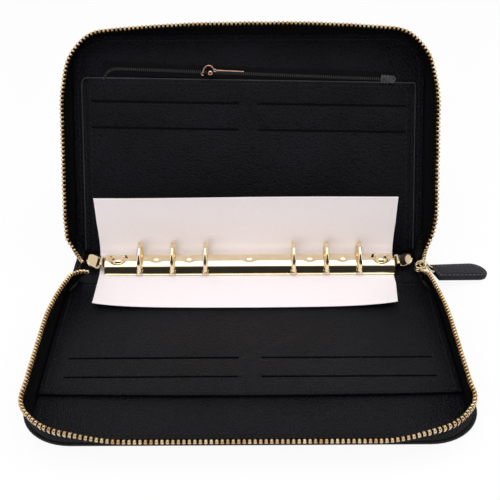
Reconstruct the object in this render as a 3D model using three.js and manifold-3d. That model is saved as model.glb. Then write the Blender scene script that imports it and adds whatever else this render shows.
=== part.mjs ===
// Zip-around ring wallet, open, in millimetres.
// X runs along the spine, Y from the front cover to the rear cover, Z up.
// The origin is the middle of the spine's underside.
import * as THREE from 'three';
import { mergeVertices } from 'three/addons/utils/BufferGeometryUtils.js';
import Module from 'manifold-3d';

const wasm = await Module();
wasm.setup();

// Covers and spine
const panelLength = 206.6;
const panelDepth = 128.4;
const panelCorner = 20;
const sideMargin = 5.6;
const frontMargin = 1.6;
const foldTaper = 5;
const foldTaperDepth = 12;
const spineWidth = 33;
const foldGap = 0.5;
const rearLean = 66;

// Layers, from the outside in
const skin = 1.1;
const boardThickness = 1.7;
const liningThickness = 0.8;
const pocketLiningThickness = 0.5;
const pocketThickness = 1.0;
const spineBoardThickness = 3.4;
const layerGap = 0.2;
const boardInset = 3;

// Card slots and pockets
const slotWidth = 1.3;
const slotMiddleGap = 11.6;
const slotSideGap = 10.5;
const slotRowPitch = 15.3;
const slotLength = (panelLength - slotMiddleGap) / 2 - slotSideGap;
const frontWellDepth = 29;
const frontSlotDrop = 30.2;
const frontPocketMouth = panelDepth - frontWellDepth;
const frontSlotDepth = frontPocketMouth - frontSlotDrop;
const frontMouthSag = 1.6;
const rearPocketInset = 7.3;
const rearPocketLength = panelLength - 2 * rearPocketInset;
const rearPocketLow = 0.35;
const rearTopGap = 26.4;
const rearPocketHigh = panelDepth - rearTopGap;
const rearPocketTilt = 1.2;
const rearPocketCorner = 4;
const rearSlotDrop = 14.2;
const bindingWidth = 3.6;

// Edge zip
const tapeThickness = 1;
const tapeWidth = 13.4;
const tapeStart = 10;
const seamGap = 0.3;
const frontSplay = { fold: -4.4, side: 0.8, corner: 3.0, middle: 10.2, foldRun: 48 };
const rearSplay = { fold: 2, side: 3.9, corner: -0.2, middle: 3.7, foldRun: 16 };
const splayEase = 15;
const toothPitch = 2.6;
const toothHeight = 3.1;
const toothWidth = 3;
const beadHeight = 1.9;
const beadWidth = 2;
const endTapeHeight = 2.2;
const endTapeLength = 28;
const endTapeInset = 5.1;
const endTapeReach = panelLength / 2 - endTapeInset;

// Ring mechanism
const plateInset = 17.8;
const plateLength = panelLength - 2 * plateInset;
const plateWidth = 17.4;
const plateCrown = 7.1;
const plateSheet = 0.8;
const ringSpacing = 19;
const ringMiddle = 51;
const ringRadius = 9.5;
const ringHeight = 6.1;
const wireRadius = 1.25;
const bladeThickness = 0.9;
const bladeLift = 1;
const bladeInset = 5.5;
const bladeLength = plateLength - 2 * bladeInset;
const bladeEdge = 6.9;
const tabWidth = 2.6;
const notchWidth = 3.6;
const rivetInset = 8.9;
const rivetReach = plateLength / 2 - rivetInset;
const rivetRadius = 4.3;
const rivetRise = 1.3;
const seatDrop = 2.6;
const seatMargin = 0.5;
const shankRadius = 1.6;
const leverLength = 9;
const leverReach = plateLength / 2 + leverLength;
const leverWidth = 12.6;
const leverNeck = 5;
const leverSheet = 1.2;
const leverRise = 3.6;
const dimpleRadius = 1.5;

// Loose sheet under the ring plate
const sheetInset = 17.3;
const sheetLength = panelLength - 2 * sheetInset;
const sheetThickness = 0.25;
const sheetFront = 25.6;
const sheetRise = 45;
const sheetRest = 0.12;
const sheetBack = 13.5;

// Main slider, link and pull
const sliderLength = 8;
const sliderWidth = 9;
const sliderHeight = 3.7;
const sliderInset = 4.7;
const sliderReach = panelLength / 2 - sliderInset;
const sliderSet = 7.5;
const bridgeHeight = 2.9;
const bridgeWidth = 3;
const linkWire = 0.65;
const linkLength = 8.8;
const linkWidth = 6;
const pullLength = 34.5;
const pullWidth = 14.4;
const pullThickness = 2.8;
const pullTurn = 17.6;
const pullLap = 3.8;
const pullShift = 2;
const pullFloor = 0.25;
const pullLift = 6.2;

// Pocket zip
const innerTapeWidth = 9;
const innerTapeThickness = 0.6;
const innerZipInset = 10;
const innerZipLength = rearPocketLength - 2 * innerZipInset;
const innerZipRise = 5.2;
const innerZipTilt = 2.5;
const innerZipDrop = 1.5;
const innerTapeLow = 1.8;
const coilRadius = 0.9;
const innerSliderPlace = -24;
const innerSliderLength = 6.4;
const innerSliderWidth = 6;
const innerSliderHeight = 2.2;
const innerPin = 0.35;
const innerArch = 1.6;
const needleLength = 19.5;
const needleWidth = 2;
const needleThickness = 1;
const endTabLength = 8.8;
const endTabWidth = 4.4;
const endTabThickness = 1.1;

const running = 0.3;

// Heights that follow from the layers
const boardBase = skin + layerGap;
const liningBase = boardBase + boardThickness + layerGap;
const liningTop = liningBase + liningThickness;
const pocketLiningBase = liningTop + layerGap;
const pocketBase = pocketLiningBase + pocketLiningThickness + layerGap;
const innerFace = pocketBase + pocketThickness;
const spineLiningBase = innerFace - liningThickness;
const rimHeight = liningBase;
const sheetBase = innerFace + sheetRest;
const plateBase = sheetBase + sheetThickness + 0.13;
const shellReach = panelLength / 2 + sideMargin;
const spineReach = shellReach - foldTaper;

const finishes = {
  leather: new THREE.MeshStandardMaterial({ color: 0x17171a, roughness: 0.55, metalness: 0 }),
  lining: new THREE.MeshStandardMaterial({ color: 0x1b1b1f, roughness: 0.6, metalness: 0 }),
  board: new THREE.MeshStandardMaterial({ color: 0x8c8376, roughness: 0.9, metalness: 0 }),
  cloth: new THREE.MeshStandardMaterial({ color: 0x101013, roughness: 0.85, metalness: 0 }),
  teeth: new THREE.MeshStandardMaterial({ color: 0xc09656, roughness: 0.3, metalness: 1 }),
  gold: new THREE.MeshStandardMaterial({ color: 0xe0c88f, roughness: 0.12, metalness: 1 }),
  rose: new THREE.MeshStandardMaterial({ color: 0xc98f76, roughness: 0.2, metalness: 1 }),
  paper: new THREE.MeshStandardMaterial({ color: 0xf1e7e9, roughness: 0.9, metalness: 0 }),
};

function named(name, geometry, finish) {
  const mesh = new THREE.Mesh(geometry, finishes[finish]);
  mesh.name = name;
  return mesh;
}

// Closed solid for cutting and joining
function solid(geometry) {
  const bare = geometry.clone();
  bare.deleteAttribute('normal');
  bare.deleteAttribute('uv');
  const merged = mergeVertices(bare, 1e-4);
  return new wasm.Manifold(new wasm.Mesh({
    numProp: 3,
    vertProperties: new Float32Array(merged.attributes.position.array),
    triVerts: new Uint32Array(merged.index.array),
  }));
}

function fromSolid(body) {
  const mesh = body.getMesh();
  const geometry = new THREE.BufferGeometry();
  geometry.setAttribute('position', new THREE.BufferAttribute(mesh.vertProperties.slice(), 3));
  geometry.setIndex(new THREE.BufferAttribute(mesh.triVerts.slice(), 1));
  geometry.computeVertexNormals();
  return geometry;
}

// Flat layer cut from an outline
function layer(shape, base, thickness, steps = 6) {
  const geometry = new THREE.ExtrudeGeometry(shape, {
    depth: thickness,
    bevelEnabled: false,
    curveSegments: steps,
  });
  geometry.translate(0, 0, base);
  return geometry;
}

function block(x0, x1, y0, y1, z0, z1) {
  const geometry = new THREE.BoxGeometry(x1 - x0, y1 - y0, z1 - z0);
  geometry.translate((x0 + x1) / 2, (y0 + y1) / 2, (z0 + z1) / 2);
  return geometry;
}

function disc(x, y, z0, z1, radius, sides = 20) {
  const geometry = new THREE.CylinderGeometry(radius, radius, z1 - z0, sides);
  geometry.rotateX(Math.PI / 2);
  geometry.translate(x, y, (z0 + z1) / 2);
  return geometry;
}

function roundHole(x, y, radius) {
  const hole = new THREE.Path();
  hole.absarc(x, y, radius, 0, Math.PI * 2, true);
  return hole;
}

// Cover outline: the fold lies on y = 0, the free edge at y = depth
function coverOutline(halfLength, foldHalf, taperDepth, low, depth, corner) {
  const shape = new THREE.Shape();
  shape.moveTo(-foldHalf, low);
  shape.lineTo(foldHalf, low);
  shape.lineTo(halfLength, taperDepth);
  shape.lineTo(halfLength, depth - corner);
  shape.absarc(halfLength - corner, depth - corner, corner, 0, Math.PI / 2, false);
  shape.lineTo(corner - halfLength, depth);
  shape.absarc(corner - halfLength, depth - corner, corner, Math.PI / 2, Math.PI, false);
  shape.lineTo(-halfLength, taperDepth);
  shape.closePath();
  return shape;
}

// Tray of outer leather: a floor with a turned-up rim that the board lies in
function coverShell() {
  const low = foldGap / 2;
  const outline = coverOutline(
    shellReach, spineReach, foldTaperDepth, low, panelDepth + frontMargin,
    panelCorner + sideMargin);
  const wall = sideMargin - seamGap;
  const cavity = coverOutline(
    shellReach - wall, spineReach - wall, foldTaperDepth, low + skin,
    panelDepth + frontMargin - wall, panelCorner + sideMargin - wall);
  const body = solid(layer(outline, 0, rimHeight));
  return fromSolid(body.subtract(solid(layer(cavity, skin, rimHeight))));
}

function coverBoard() {
  const half = shellReach - sideMargin - boardInset;
  const low = foldGap / 2 + skin + layerGap;
  const outline = coverOutline(
    half, spineReach - sideMargin - boardInset, foldTaperDepth, low,
    panelDepth + frontMargin - sideMargin - layerGap, panelCorner - boardInset);
  return layer(outline, boardBase, boardThickness);
}

function liningOutline() {
  return coverOutline(
    panelLength / 2, spineReach - sideMargin, foldTaperDepth, foldGap / 2, panelDepth,
    panelCorner);
}

// One card slot, cut along a row that may lean a little
function slotPrism(x0, x1, row, lean) {
  const slope = Math.tan(THREE.MathUtils.degToRad(lean));
  const shape = new THREE.Shape();
  shape.moveTo(x0, row + x0 * slope);
  shape.lineTo(x1, row + x1 * slope);
  shape.lineTo(x1, row + slotWidth + x1 * slope);
  shape.lineTo(x0, row + slotWidth + x0 * slope);
  shape.closePath();
  return solid(layer(shape, pocketBase - 1, pocketThickness + 2));
}

function slottedPanel(outline, rows, lean) {
  const near = slotMiddleGap / 2;
  let body = solid(layer(outline, pocketBase, pocketThickness));
  for (const row of rows) {
    body = body.subtract(slotPrism(-near - slotLength, -near, row, lean));
    body = body.subtract(slotPrism(near, near + slotLength, row, lean));
  }
  return fromSolid(body);
}

// Slip pocket on the front cover, its mouth bowed toward the free edge
function frontPocketOutline(inset) {
  const half = panelLength / 2 - inset;
  const foldHalf = spineReach - sideMargin - inset;
  const low = foldGap / 2 + inset;
  const shape = new THREE.Shape();
  shape.moveTo(-foldHalf, low);
  shape.lineTo(foldHalf, low);
  shape.lineTo(half, foldTaperDepth);
  shape.lineTo(half, frontPocketMouth - frontMouthSag - inset);
  shape.quadraticCurveTo(
    0, frontPocketMouth + frontMouthSag - inset,
    -half, frontPocketMouth - frontMouthSag - inset);
  shape.lineTo(-half, foldTaperDepth);
  shape.closePath();
  return shape;
}

// Zip pocket on the rear cover, its top edge a little lower on one side
const rearSlope = -Math.tan(THREE.MathUtils.degToRad(rearPocketTilt));

function rearPocketOutline(inset) {
  const half = rearPocketLength / 2 - inset;
  const corner = rearPocketCorner;
  const high = rearPocketHigh - inset;
  const low = rearPocketLow + inset;
  const shape = new THREE.Shape();
  shape.moveTo(-half, low);
  shape.lineTo(half, low);
  shape.lineTo(half, high + half * rearSlope - corner);
  shape.quadraticCurveTo(half, high + half * rearSlope, half - corner, high + half * rearSlope);
  shape.lineTo(corner - half, high - half * rearSlope);
  shape.quadraticCurveTo(-half, high - half * rearSlope, -half, high - half * rearSlope - corner);
  shape.closePath();
  return shape;
}

// Line round the free edges of a cover, from one side of the fold to the other
function edgeLine(halfLength, start, depth, corner, step) {
  const points = [];
  const sideRun = depth - corner - start;
  const turn = corner * Math.PI / 2;
  const frontRun = 2 * (halfLength - corner);
  const total = 2 * sideRun + 2 * turn + frontRun;
  const count = 2 * Math.round(total / step / 2);
  for (let i = 0; i <= count; i += 1) {
    const s = total * i / count;
    const back = Math.min(s, total - s);
    const side = s * 2 < total ? 1 : -1;
    let x = halfLength;
    let y = start + back;
    let nx = 1;
    let ny = 0;
    let place = 'side';
    if (back > sideRun && back <= sideRun + turn) {
      const a = (back - sideRun) / corner;
      x = halfLength - corner + corner * Math.cos(a);
      y = depth - corner + corner * Math.sin(a);
      nx = Math.cos(a);
      ny = Math.sin(a);
      place = 'corner';
    } else if (back > sideRun + turn) {
      x = halfLength - corner - (back - sideRun - turn);
      y = depth;
      nx = 0;
      ny = 1;
      place = 'front';
    }
    points.push({ x: side * x, y, nx: side * nx, ny, s, back, place });
  }
  return { points, sideRun, turn, total };
}

// How far the tape's free edge leans out at one place on the line
function splayAt(line, back, splay) {
  const swell = (t) => Math.sin(Math.min(1, Math.max(0, t)) * Math.PI / 2);
  const cornerMiddle = line.sideRun + line.turn / 2;
  const easeStart = line.sideRun - splayEase;
  if (back < easeStart) {
    return splay.fold + (splay.side - splay.fold) * swell(back / splay.foldRun);
  }
  if (back < cornerMiddle) {
    const t = (back - easeStart) / (cornerMiddle - easeStart);
    return splay.side + (splay.corner - splay.side) * (1 - Math.cos(t * Math.PI)) / 2;
  }
  const t = (back - cornerMiddle) / (line.total / 2 - cornerMiddle) / 0.6;
  return splay.corner + (splay.middle - splay.corner) * swell(t);
}

// Strip with four corners at each station, closed at both ends
function strip(stations) {
  const vertices = [];
  const faces = [];
  for (const station of stations) {
    for (const corner of station) {
      vertices.push(...corner);
    }
  }
  for (let i = 0; i + 1 < stations.length; i += 1) {
    const a = i * 4;
    const b = a + 4;
    for (let k = 0; k < 4; k += 1) {
      const m = (k + 1) % 4;
      faces.push(a + k, b + k, b + m, a + k, b + m, a + m);
    }
  }
  const last = (stations.length - 1) * 4;
  faces.push(0, 1, 2, 0, 2, 3);
  faces.push(last, last + 2, last + 1, last, last + 3, last + 2);
  const geometry = new THREE.BufferGeometry();
  geometry.setAttribute('position', new THREE.Float32BufferAttribute(vertices, 3));
  geometry.setIndex(faces);
  geometry.computeVertexNormals();
  return geometry;
}

// Cross-section of the leaning tape between two distances from its foot
function tapeSection(point, splay, base, from, to, width) {
  const rise = Math.sqrt(tapeWidth * tapeWidth - splay * splay);
  const ux = splay / tapeWidth;
  const uz = rise / tapeWidth;
  const corners = [];
  for (const [along, across] of [[from, -1], [from, 1], [to, 1], [to, -1]]) {
    const out = along * ux + across * uz * width / 2;
    const up = along * uz - across * ux * width / 2;
    corners.push([point.x + point.nx * out, point.y + point.ny * out, base + up]);
  }
  return corners;
}

function tapeWall(splay) {
  const half = panelLength / 2 + seamGap + tapeThickness;
  const line = edgeLine(
    half, tapeStart, panelDepth + seamGap + tapeThickness,
    panelCorner + seamGap + tapeThickness, 6);
  const foot = rimHeight + layerGap + tapeThickness / 2;
  const stations = line.points.map((point) => tapeSection(
    point, splayAt(line, point.back, splay), foot, 0, tapeWidth, tapeThickness));
  return strip(stations);
}

function teethRow(splay) {
  const half = panelLength / 2 + seamGap + tapeThickness;
  const line = edgeLine(
    half, tapeStart, panelDepth + seamGap + tapeThickness,
    panelCorner + seamGap + tapeThickness, toothPitch / 2);
  const foot = rimHeight + layerGap + tapeThickness / 2;
  const seat = tapeWidth + layerGap;
  const stations = line.points.map((point, i) => {
    const raised = i % 2 === 1;
    const to = seat + (raised ? toothHeight : beadHeight);
    const width = raised ? toothWidth : beadWidth;
    return tapeSection(point, splayAt(line, point.back, splay), foot, seat, to, width);
  });
  return strip(stations);
}

// Everything both covers have
function plainCover(prefix, splay) {
  const cover = new THREE.Group();
  cover.add(named(`${prefix}_cover_shell`, coverShell(), 'leather'));
  cover.add(named(`${prefix}_cover_board`, coverBoard(), 'board'));
  cover.add(named(
    `${prefix}_cover_lining`, layer(liningOutline(), liningBase, liningThickness), 'lining'));
  cover.add(named(`${prefix}_zip_tape`, tapeWall(splay), 'cloth'));
  cover.add(named(`${prefix}_zip_teeth`, teethRow(splay), 'teeth'));
  return cover;
}

function frontCover() {
  const cover = plainCover('front', frontSplay);
  const backing = frontPocketOutline(2.5);
  cover.add(named(
    'front_pocket_lining', layer(backing, pocketLiningBase, pocketLiningThickness), 'cloth'));
  const rows = [frontSlotDepth, frontSlotDepth + slotRowPitch];
  cover.add(named('front_pocket_panel', slottedPanel(frontPocketOutline(0), rows, 0), 'lining'));
  cover.rotation.z = Math.PI;
  cover.position.y = -spineWidth / 2;
  return cover;
}

// Round bar between two points
function rod(from, to, radius, sides = 8) {
  const a = new THREE.Vector3(...from);
  const b = new THREE.Vector3(...to);
  const along = b.clone().sub(a);
  const geometry = new THREE.CylinderGeometry(radius, radius, along.length(), sides);
  geometry.applyQuaternion(new THREE.Quaternion().setFromUnitVectors(
    new THREE.Vector3(0, 1, 0), along.normalize()));
  geometry.translate((a.x + b.x) / 2, (a.y + b.y) / 2, (a.z + b.z) / 2);
  return geometry;
}

// Heights and pin of the pocket zip, and the eye both sliders leave round their pin
const coilBase = pocketLiningBase + innerTapeThickness + layerGap;
const coilTop = coilBase + 2 * coilRadius;
const innerSliderBase = coilTop + layerGap;
const innerSliderTop = innerSliderBase + innerSliderHeight;
const innerPinX = 0.6;
const innerPinHeight = innerSliderTop + innerPin + 0.55;

// Arch seen from the side, with a round eye for a pin
function arch(back, front, foot, roof, pinX, pinZ, eyeRadius, width) {
  const shape = new THREE.Shape();
  const cut = (roof - foot) * 0.28;
  shape.moveTo(back, foot);
  shape.lineTo(front, foot);
  shape.lineTo(front, roof - cut);
  shape.lineTo(front - cut, roof);
  shape.lineTo(back + cut, roof);
  shape.lineTo(back, roof - cut);
  shape.closePath();
  const eye = new THREE.Path();
  eye.absarc(pinX, pinZ, eyeRadius, 0, Math.PI * 2, true);
  shape.holes.push(eye);
  const geometry = new THREE.ExtrudeGeometry(shape, {
    depth: width, bevelEnabled: false, curveSegments: 5 });
  geometry.rotateX(Math.PI / 2);
  geometry.translate(0, width / 2, 0);
  return geometry;
}

function innerSlider() {
  const outline = new THREE.Shape();
  const halfLength = innerSliderLength / 2;
  const halfWidth = innerSliderWidth / 2;
  outline.moveTo(-halfLength, -halfWidth * 0.6);
  outline.lineTo(-halfLength * 0.2, -halfWidth);
  outline.lineTo(halfLength, -halfWidth * 0.8);
  outline.lineTo(halfLength, halfWidth * 0.8);
  outline.lineTo(-halfLength * 0.2, halfWidth);
  outline.lineTo(-halfLength, halfWidth * 0.6);
  outline.closePath();
  const body = solid(layer(outline, innerSliderBase, innerSliderHeight));
  const eye = innerPin + 0.25;
  const bridge = solid(arch(
    -halfLength * 0.6, innerPinX + eye + 0.6, innerSliderTop - 0.4, innerPinHeight + eye + 0.7,
    innerPinX, innerPinHeight, eye, innerArch));
  return fromSolid(body.add(bridge));
}

// Needle pull: a pin through the arch, two short arms and a thin blade
function innerNeedle() {
  const arm = innerArch / 2 + running + innerPin;
  const crotch = innerPinX + 2.4;
  const z = innerPinHeight;
  let body = solid(rod([innerPinX, -arm, z], [innerPinX, arm, z], innerPin));
  for (const side of [-1, 1]) {
    body = body.add(solid(rod([innerPinX - 0.2, side * arm, z], [crotch + 0.6, side * arm, z], innerPin)));
  }
  const wide = arm + innerPin;
  const thin = needleWidth * 0.4;
  const needle = new THREE.Shape();
  needle.moveTo(crotch, -wide);
  needle.lineTo(crotch + 3, -wide);
  needle.lineTo(crotch + 5, -thin);
  needle.lineTo(innerPinX + needleLength - 0.6, -thin);
  needle.lineTo(innerPinX + needleLength, -thin * 0.5);
  needle.lineTo(innerPinX + needleLength, thin * 0.5);
  needle.lineTo(innerPinX + needleLength - 0.6, thin);
  needle.lineTo(crotch + 5, thin);
  needle.lineTo(crotch + 3, wide);
  needle.lineTo(crotch, wide);
  needle.closePath();
  body = body.add(solid(layer(needle, z - needleThickness / 2, needleThickness)));
  return fromSolid(body);
}

// Pocket zip: tape along the pocket's top edge, coil, slider, needle pull and end tab
function pocketZip() {
  const zip = new THREE.Group();
  zip.add(named('pocket_zip_tape', block(
    -innerZipLength / 2, innerZipLength / 2, innerTapeLow, innerTapeWidth,
    pocketLiningBase, pocketLiningBase + innerTapeThickness), 'cloth'));
  const coil = new THREE.CylinderGeometry(coilRadius, coilRadius, innerZipLength - 4, 8);
  coil.rotateZ(Math.PI / 2);
  coil.translate(0, innerZipRise, coilBase + coilRadius);
  zip.add(named('pocket_zip_coil', coil, 'cloth'));
  for (const [name, geometry] of [
    ['pocket_zip_slider', innerSlider()], ['pocket_zip_pull', innerNeedle()]]) {
    const piece = named(name, geometry, 'rose');
    piece.position.set(innerSliderPlace, innerZipRise, 0);
    zip.add(piece);
  }
  const tabEnd = innerZipLength / 2;
  const tabLow = innerZipRise - endTabWidth / 2;
  zip.add(named('pocket_zip_end_tab', block(
    tabEnd - endTabLength, tabEnd, tabLow, tabLow + endTabWidth,
    coilTop + layerGap, coilTop + layerGap + endTabThickness), 'leather'));
  zip.position.y = rearPocketHigh - innerZipDrop;
  zip.rotation.z = -THREE.MathUtils.degToRad(innerZipTilt);
  return zip;
}

function rearCover() {
  const cover = plainCover('rear', rearSplay);
  const backing = rearPocketOutline(2.5);
  cover.add(named(
    'rear_pocket_lining', layer(backing, pocketLiningBase, pocketLiningThickness), 'cloth'));
  const firstRow = rearPocketHigh - rearSlotDrop;
  cover.add(named('rear_pocket_panel', slottedPanel(
    rearPocketOutline(0), [firstRow, firstRow - slotRowPitch], -rearPocketTilt), 'lining'));
  const bindX = rearPocketLength / 2 + running;
  for (const [side, sign] of [['left', -1], ['right', 1]]) {
    const x0 = sign * bindX;
    const x1 = sign * (bindX + bindingWidth);
    const top = rearPocketHigh + sign * bindX * rearSlope - rearPocketCorner;
    cover.add(named(`rear_pocket_binding_${side}`, block(
      Math.min(x0, x1), Math.max(x0, x1), rearPocketLow, top,
      pocketLiningBase, innerFace), 'leather'));
  }
  cover.add(pocketZip());
  const hinge = new THREE.Group();
  cover.position.z = -innerFace;
  hinge.add(cover);
  hinge.rotation.x = THREE.MathUtils.degToRad(rearLean);
  hinge.position.set(0, spineWidth / 2, innerFace);
  return hinge;
}

function spineOutline(reach, inset) {
  const half = spineWidth / 2 - inset;
  const shape = new THREE.Shape();
  shape.moveTo(-reach, -half);
  shape.lineTo(reach, -half);
  shape.lineTo(reach, half);
  shape.lineTo(-reach, half);
  shape.closePath();
  return shape;
}

function spineShell() {
  const low = foldGap / 2;
  const body = solid(layer(spineOutline(spineReach, low), 0, rimHeight));
  const wall = sideMargin - seamGap;
  const cavity = solid(layer(spineOutline(spineReach - wall, low + skin), skin, rimHeight));
  return fromSolid(body.subtract(cavity));
}

// Arched cover plate of the ring mechanism, notched where the rings pass
const archRadius = (plateWidth * plateWidth / 4 + plateCrown * plateCrown) / (2 * plateCrown);
const archCentre = plateBase + plateCrown - archRadius;
const plateTop = plateBase + plateCrown;
const rivetSeat = plateTop - seatDrop;
const ringPlaces = [];
for (const sign of [-1, 1]) {
  for (let i = 0; i < 3; i += 1) {
    ringPlaces.push(sign * (ringMiddle / 2 + i * ringSpacing));
  }
}
ringPlaces.sort((a, b) => a - b);

// Segment of a round bar along x, closed below at the height low
function archBar(radius, low) {
  const reach = Math.acos((plateBase - archCentre) / radius);
  const steps = 14;
  const shape = new THREE.Shape();
  shape.moveTo(-radius * Math.sin(reach), low);
  for (let i = 0; i <= steps; i += 1) {
    const a = -reach + 2 * reach * i / steps;
    shape.lineTo(radius * Math.sin(a), archCentre + radius * Math.cos(a));
  }
  shape.lineTo(radius * Math.sin(reach), low);
  shape.closePath();
  const bar = new THREE.ExtrudeGeometry(shape, {
    depth: plateLength, bevelEnabled: false, curveSegments: 1 });
  bar.rotateY(Math.PI / 2);
  bar.rotateX(Math.PI / 2);
  bar.translate(-plateLength / 2, 0, 0);
  return solid(bar);
}

function ringPlate() {
  const full = archBar(archRadius, plateBase);
  let body = full.subtract(archBar(archRadius - plateSheet, plateBase - 1));
  const notchTop = plateBase + bladeLift + bladeThickness + 1.4;
  for (const x of ringPlaces) {
    for (const side of [-1, 1]) {
      const near = side * (bladeEdge - running);
      const far = side * (plateWidth / 2 + 2);
      body = body.subtract(solid(block(
        x - notchWidth / 2, x + notchWidth / 2, Math.min(near, far), Math.max(near, far),
        plateBase - 1, notchTop)));
    }
  }
  // flat round seats pressed into the crown for the rivets
  const seatRadius = rivetRadius + seatMargin;
  for (const side of [-1, 1]) {
    const x = side * rivetReach;
    const cup = solid(disc(
      x, 0, rivetSeat - plateSheet, plateTop + 1, seatRadius + plateSheet, 28));
    body = body.add(full.intersect(cup));
    body = body.subtract(solid(disc(x, 0, rivetSeat, plateTop + 1, seatRadius, 28)));
    body = body.subtract(solid(disc(x, 0, plateBase, plateTop, shankRadius + running)));
  }
  for (let i = 0; i + 1 < ringPlaces.length; i += 1) {
    const middle = (ringPlaces[i] + ringPlaces[i + 1]) / 2;
    const dimple = new THREE.SphereGeometry(dimpleRadius, 8, 6);
    dimple.scale(1.5, 0.8, 0.35);
    dimple.translate(middle, 0, plateTop);
    body = body.subtract(solid(dimple));
  }
  return fromSolid(body);
}

// Long blade under the plate, with a tab at each ring
function blade(side) {
  const x = bladeLength / 2;
  const near = running / 2;
  const far = bladeEdge - running;
  const tabFar = ringRadius + wireRadius - 0.4;
  const notch = shankRadius + 2 * running;
  const shape = new THREE.Shape();
  shape.moveTo(-x, near);
  for (const place of [-rivetReach, rivetReach]) {
    const run = Math.sqrt(notch * notch - near * near);
    shape.lineTo(place - run, near);
    const a0 = Math.PI - Math.asin(near / notch);
    shape.absarc(place, 0, notch, a0, Math.PI - a0, true);
  }
  shape.lineTo(x, near);
  shape.lineTo(x, far);
  for (let i = ringPlaces.length - 1; i >= 0; i -= 1) {
    const place = ringPlaces[i];
    shape.lineTo(place + tabWidth / 2, far);
    shape.lineTo(place + tabWidth / 2, tabFar);
    shape.lineTo(place - tabWidth / 2, tabFar);
    shape.lineTo(place - tabWidth / 2, far);
  }
  shape.lineTo(-x, far);
  shape.closePath();
  const geometry = layer(shape, plateBase + bladeLift, bladeThickness, 8);
  if (side < 0) {
    geometry.rotateX(Math.PI);
    geometry.translate(0, 0, 2 * (plateBase + bladeLift) + bladeThickness);
  }
  return geometry;
}

// Half ring: round wire from its blade up to the joint at the top
class RingArc extends THREE.Curve {
  constructor(side, from, to) {
    super();
    this.side = side;
    this.from = from;
    this.to = to;
  }

  getPoint(t, target = new THREE.Vector3()) {
    const a = this.from + (this.to - this.from) * t;
    return target.set(
      0, this.side * ringRadius * Math.cos(a), innerFace + ringHeight + ringRadius * Math.sin(a));
  }
}

function halfRing(side) {
  const foot = plateBase + bladeLift + bladeThickness + wireRadius * 0.45 + 2 * layerGap;
  const from = Math.asin((foot - innerFace - ringHeight) / ringRadius);
  const to = Math.PI / 2 - running / 2 / ringRadius;
  const section = new THREE.Shape();
  section.absarc(0, 0, wireRadius, 0, Math.PI * 2, false);
  return new THREE.ExtrudeGeometry(section, {
    extrudePath: new RingArc(side, from, to), steps: 11, curveSegments: 5, bevelEnabled: false });
}

function rivet() {
  const top = rivetSeat + layerGap;
  const profile = [
    new THREE.Vector2(0, boardBase),
    new THREE.Vector2(shankRadius, boardBase),
    new THREE.Vector2(shankRadius, top),
    new THREE.Vector2(rivetRadius, top),
    new THREE.Vector2(rivetRadius, top + rivetRise * 0.3),
    new THREE.Vector2(rivetRadius * 0.8, top + rivetRise * 0.72),
    new THREE.Vector2(rivetRadius * 0.45, top + rivetRise * 0.95),
    new THREE.Vector2(0, top + rivetRise),
  ];
  const geometry = new THREE.LatheGeometry(profile, 20);
  geometry.rotateX(Math.PI / 2);
  return geometry;
}

// Thumb lever at one end of the plate: a bent strip, narrow under the plate, round outside
function lever(sign) {
  const inner = bladeLength / 2 + running + 0.2;
  const low = plateBase + bladeLift;
  const kneeX = plateLength / 2 + 1.4;
  const side = new THREE.Shape();
  side.moveTo(inner, low);
  side.lineTo(kneeX, low);
  side.lineTo(kneeX + 2.4, low + leverRise * 0.45);
  side.lineTo(leverReach, low + leverRise);
  side.lineTo(leverReach, low + leverRise + leverSheet);
  side.lineTo(kneeX + 1.9, low + leverRise * 0.45 + leverSheet);
  side.lineTo(kneeX - 0.5, low + leverSheet);
  side.lineTo(inner + 2.2, low + leverSheet);
  side.lineTo(inner, low + leverSheet - 0.75);
  side.closePath();
  const bent = new THREE.ExtrudeGeometry(side, {
    depth: leverWidth, bevelEnabled: false, curveSegments: 1 });
  bent.rotateX(Math.PI / 2);
  bent.translate(0, leverWidth / 2, 0);
  const plan = new THREE.Shape();
  const wide = leverWidth / 2;
  const round = 4;
  plan.moveTo(inner - 1, -leverNeck / 2);
  plan.lineTo(plateLength / 2 + 0.4, -leverNeck / 2);
  plan.quadraticCurveTo(plateLength / 2 + 0.9, -wide, kneeX + 1.6, -wide + 0.1);
  plan.lineTo(leverReach - round, -wide + 0.1);
  plan.absarc(leverReach - round, -wide + 0.1 + round, round, -Math.PI / 2, 0, false);
  plan.absarc(leverReach - round, wide - 0.1 - round, round, 0, Math.PI / 2, false);
  plan.lineTo(kneeX + 1.6, wide - 0.1);
  plan.quadraticCurveTo(plateLength / 2 + 0.9, wide, plateLength / 2 + 0.4, leverNeck / 2);
  plan.lineTo(inner - 1, leverNeck / 2);
  plan.closePath();
  const cutter = solid(layer(plan, low - 2, leverRise + leverSheet + 4));
  const geometry = fromSolid(solid(bent).intersect(cutter));
  if (sign < 0) {
    geometry.rotateZ(Math.PI);
  }
  return geometry;
}

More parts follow.
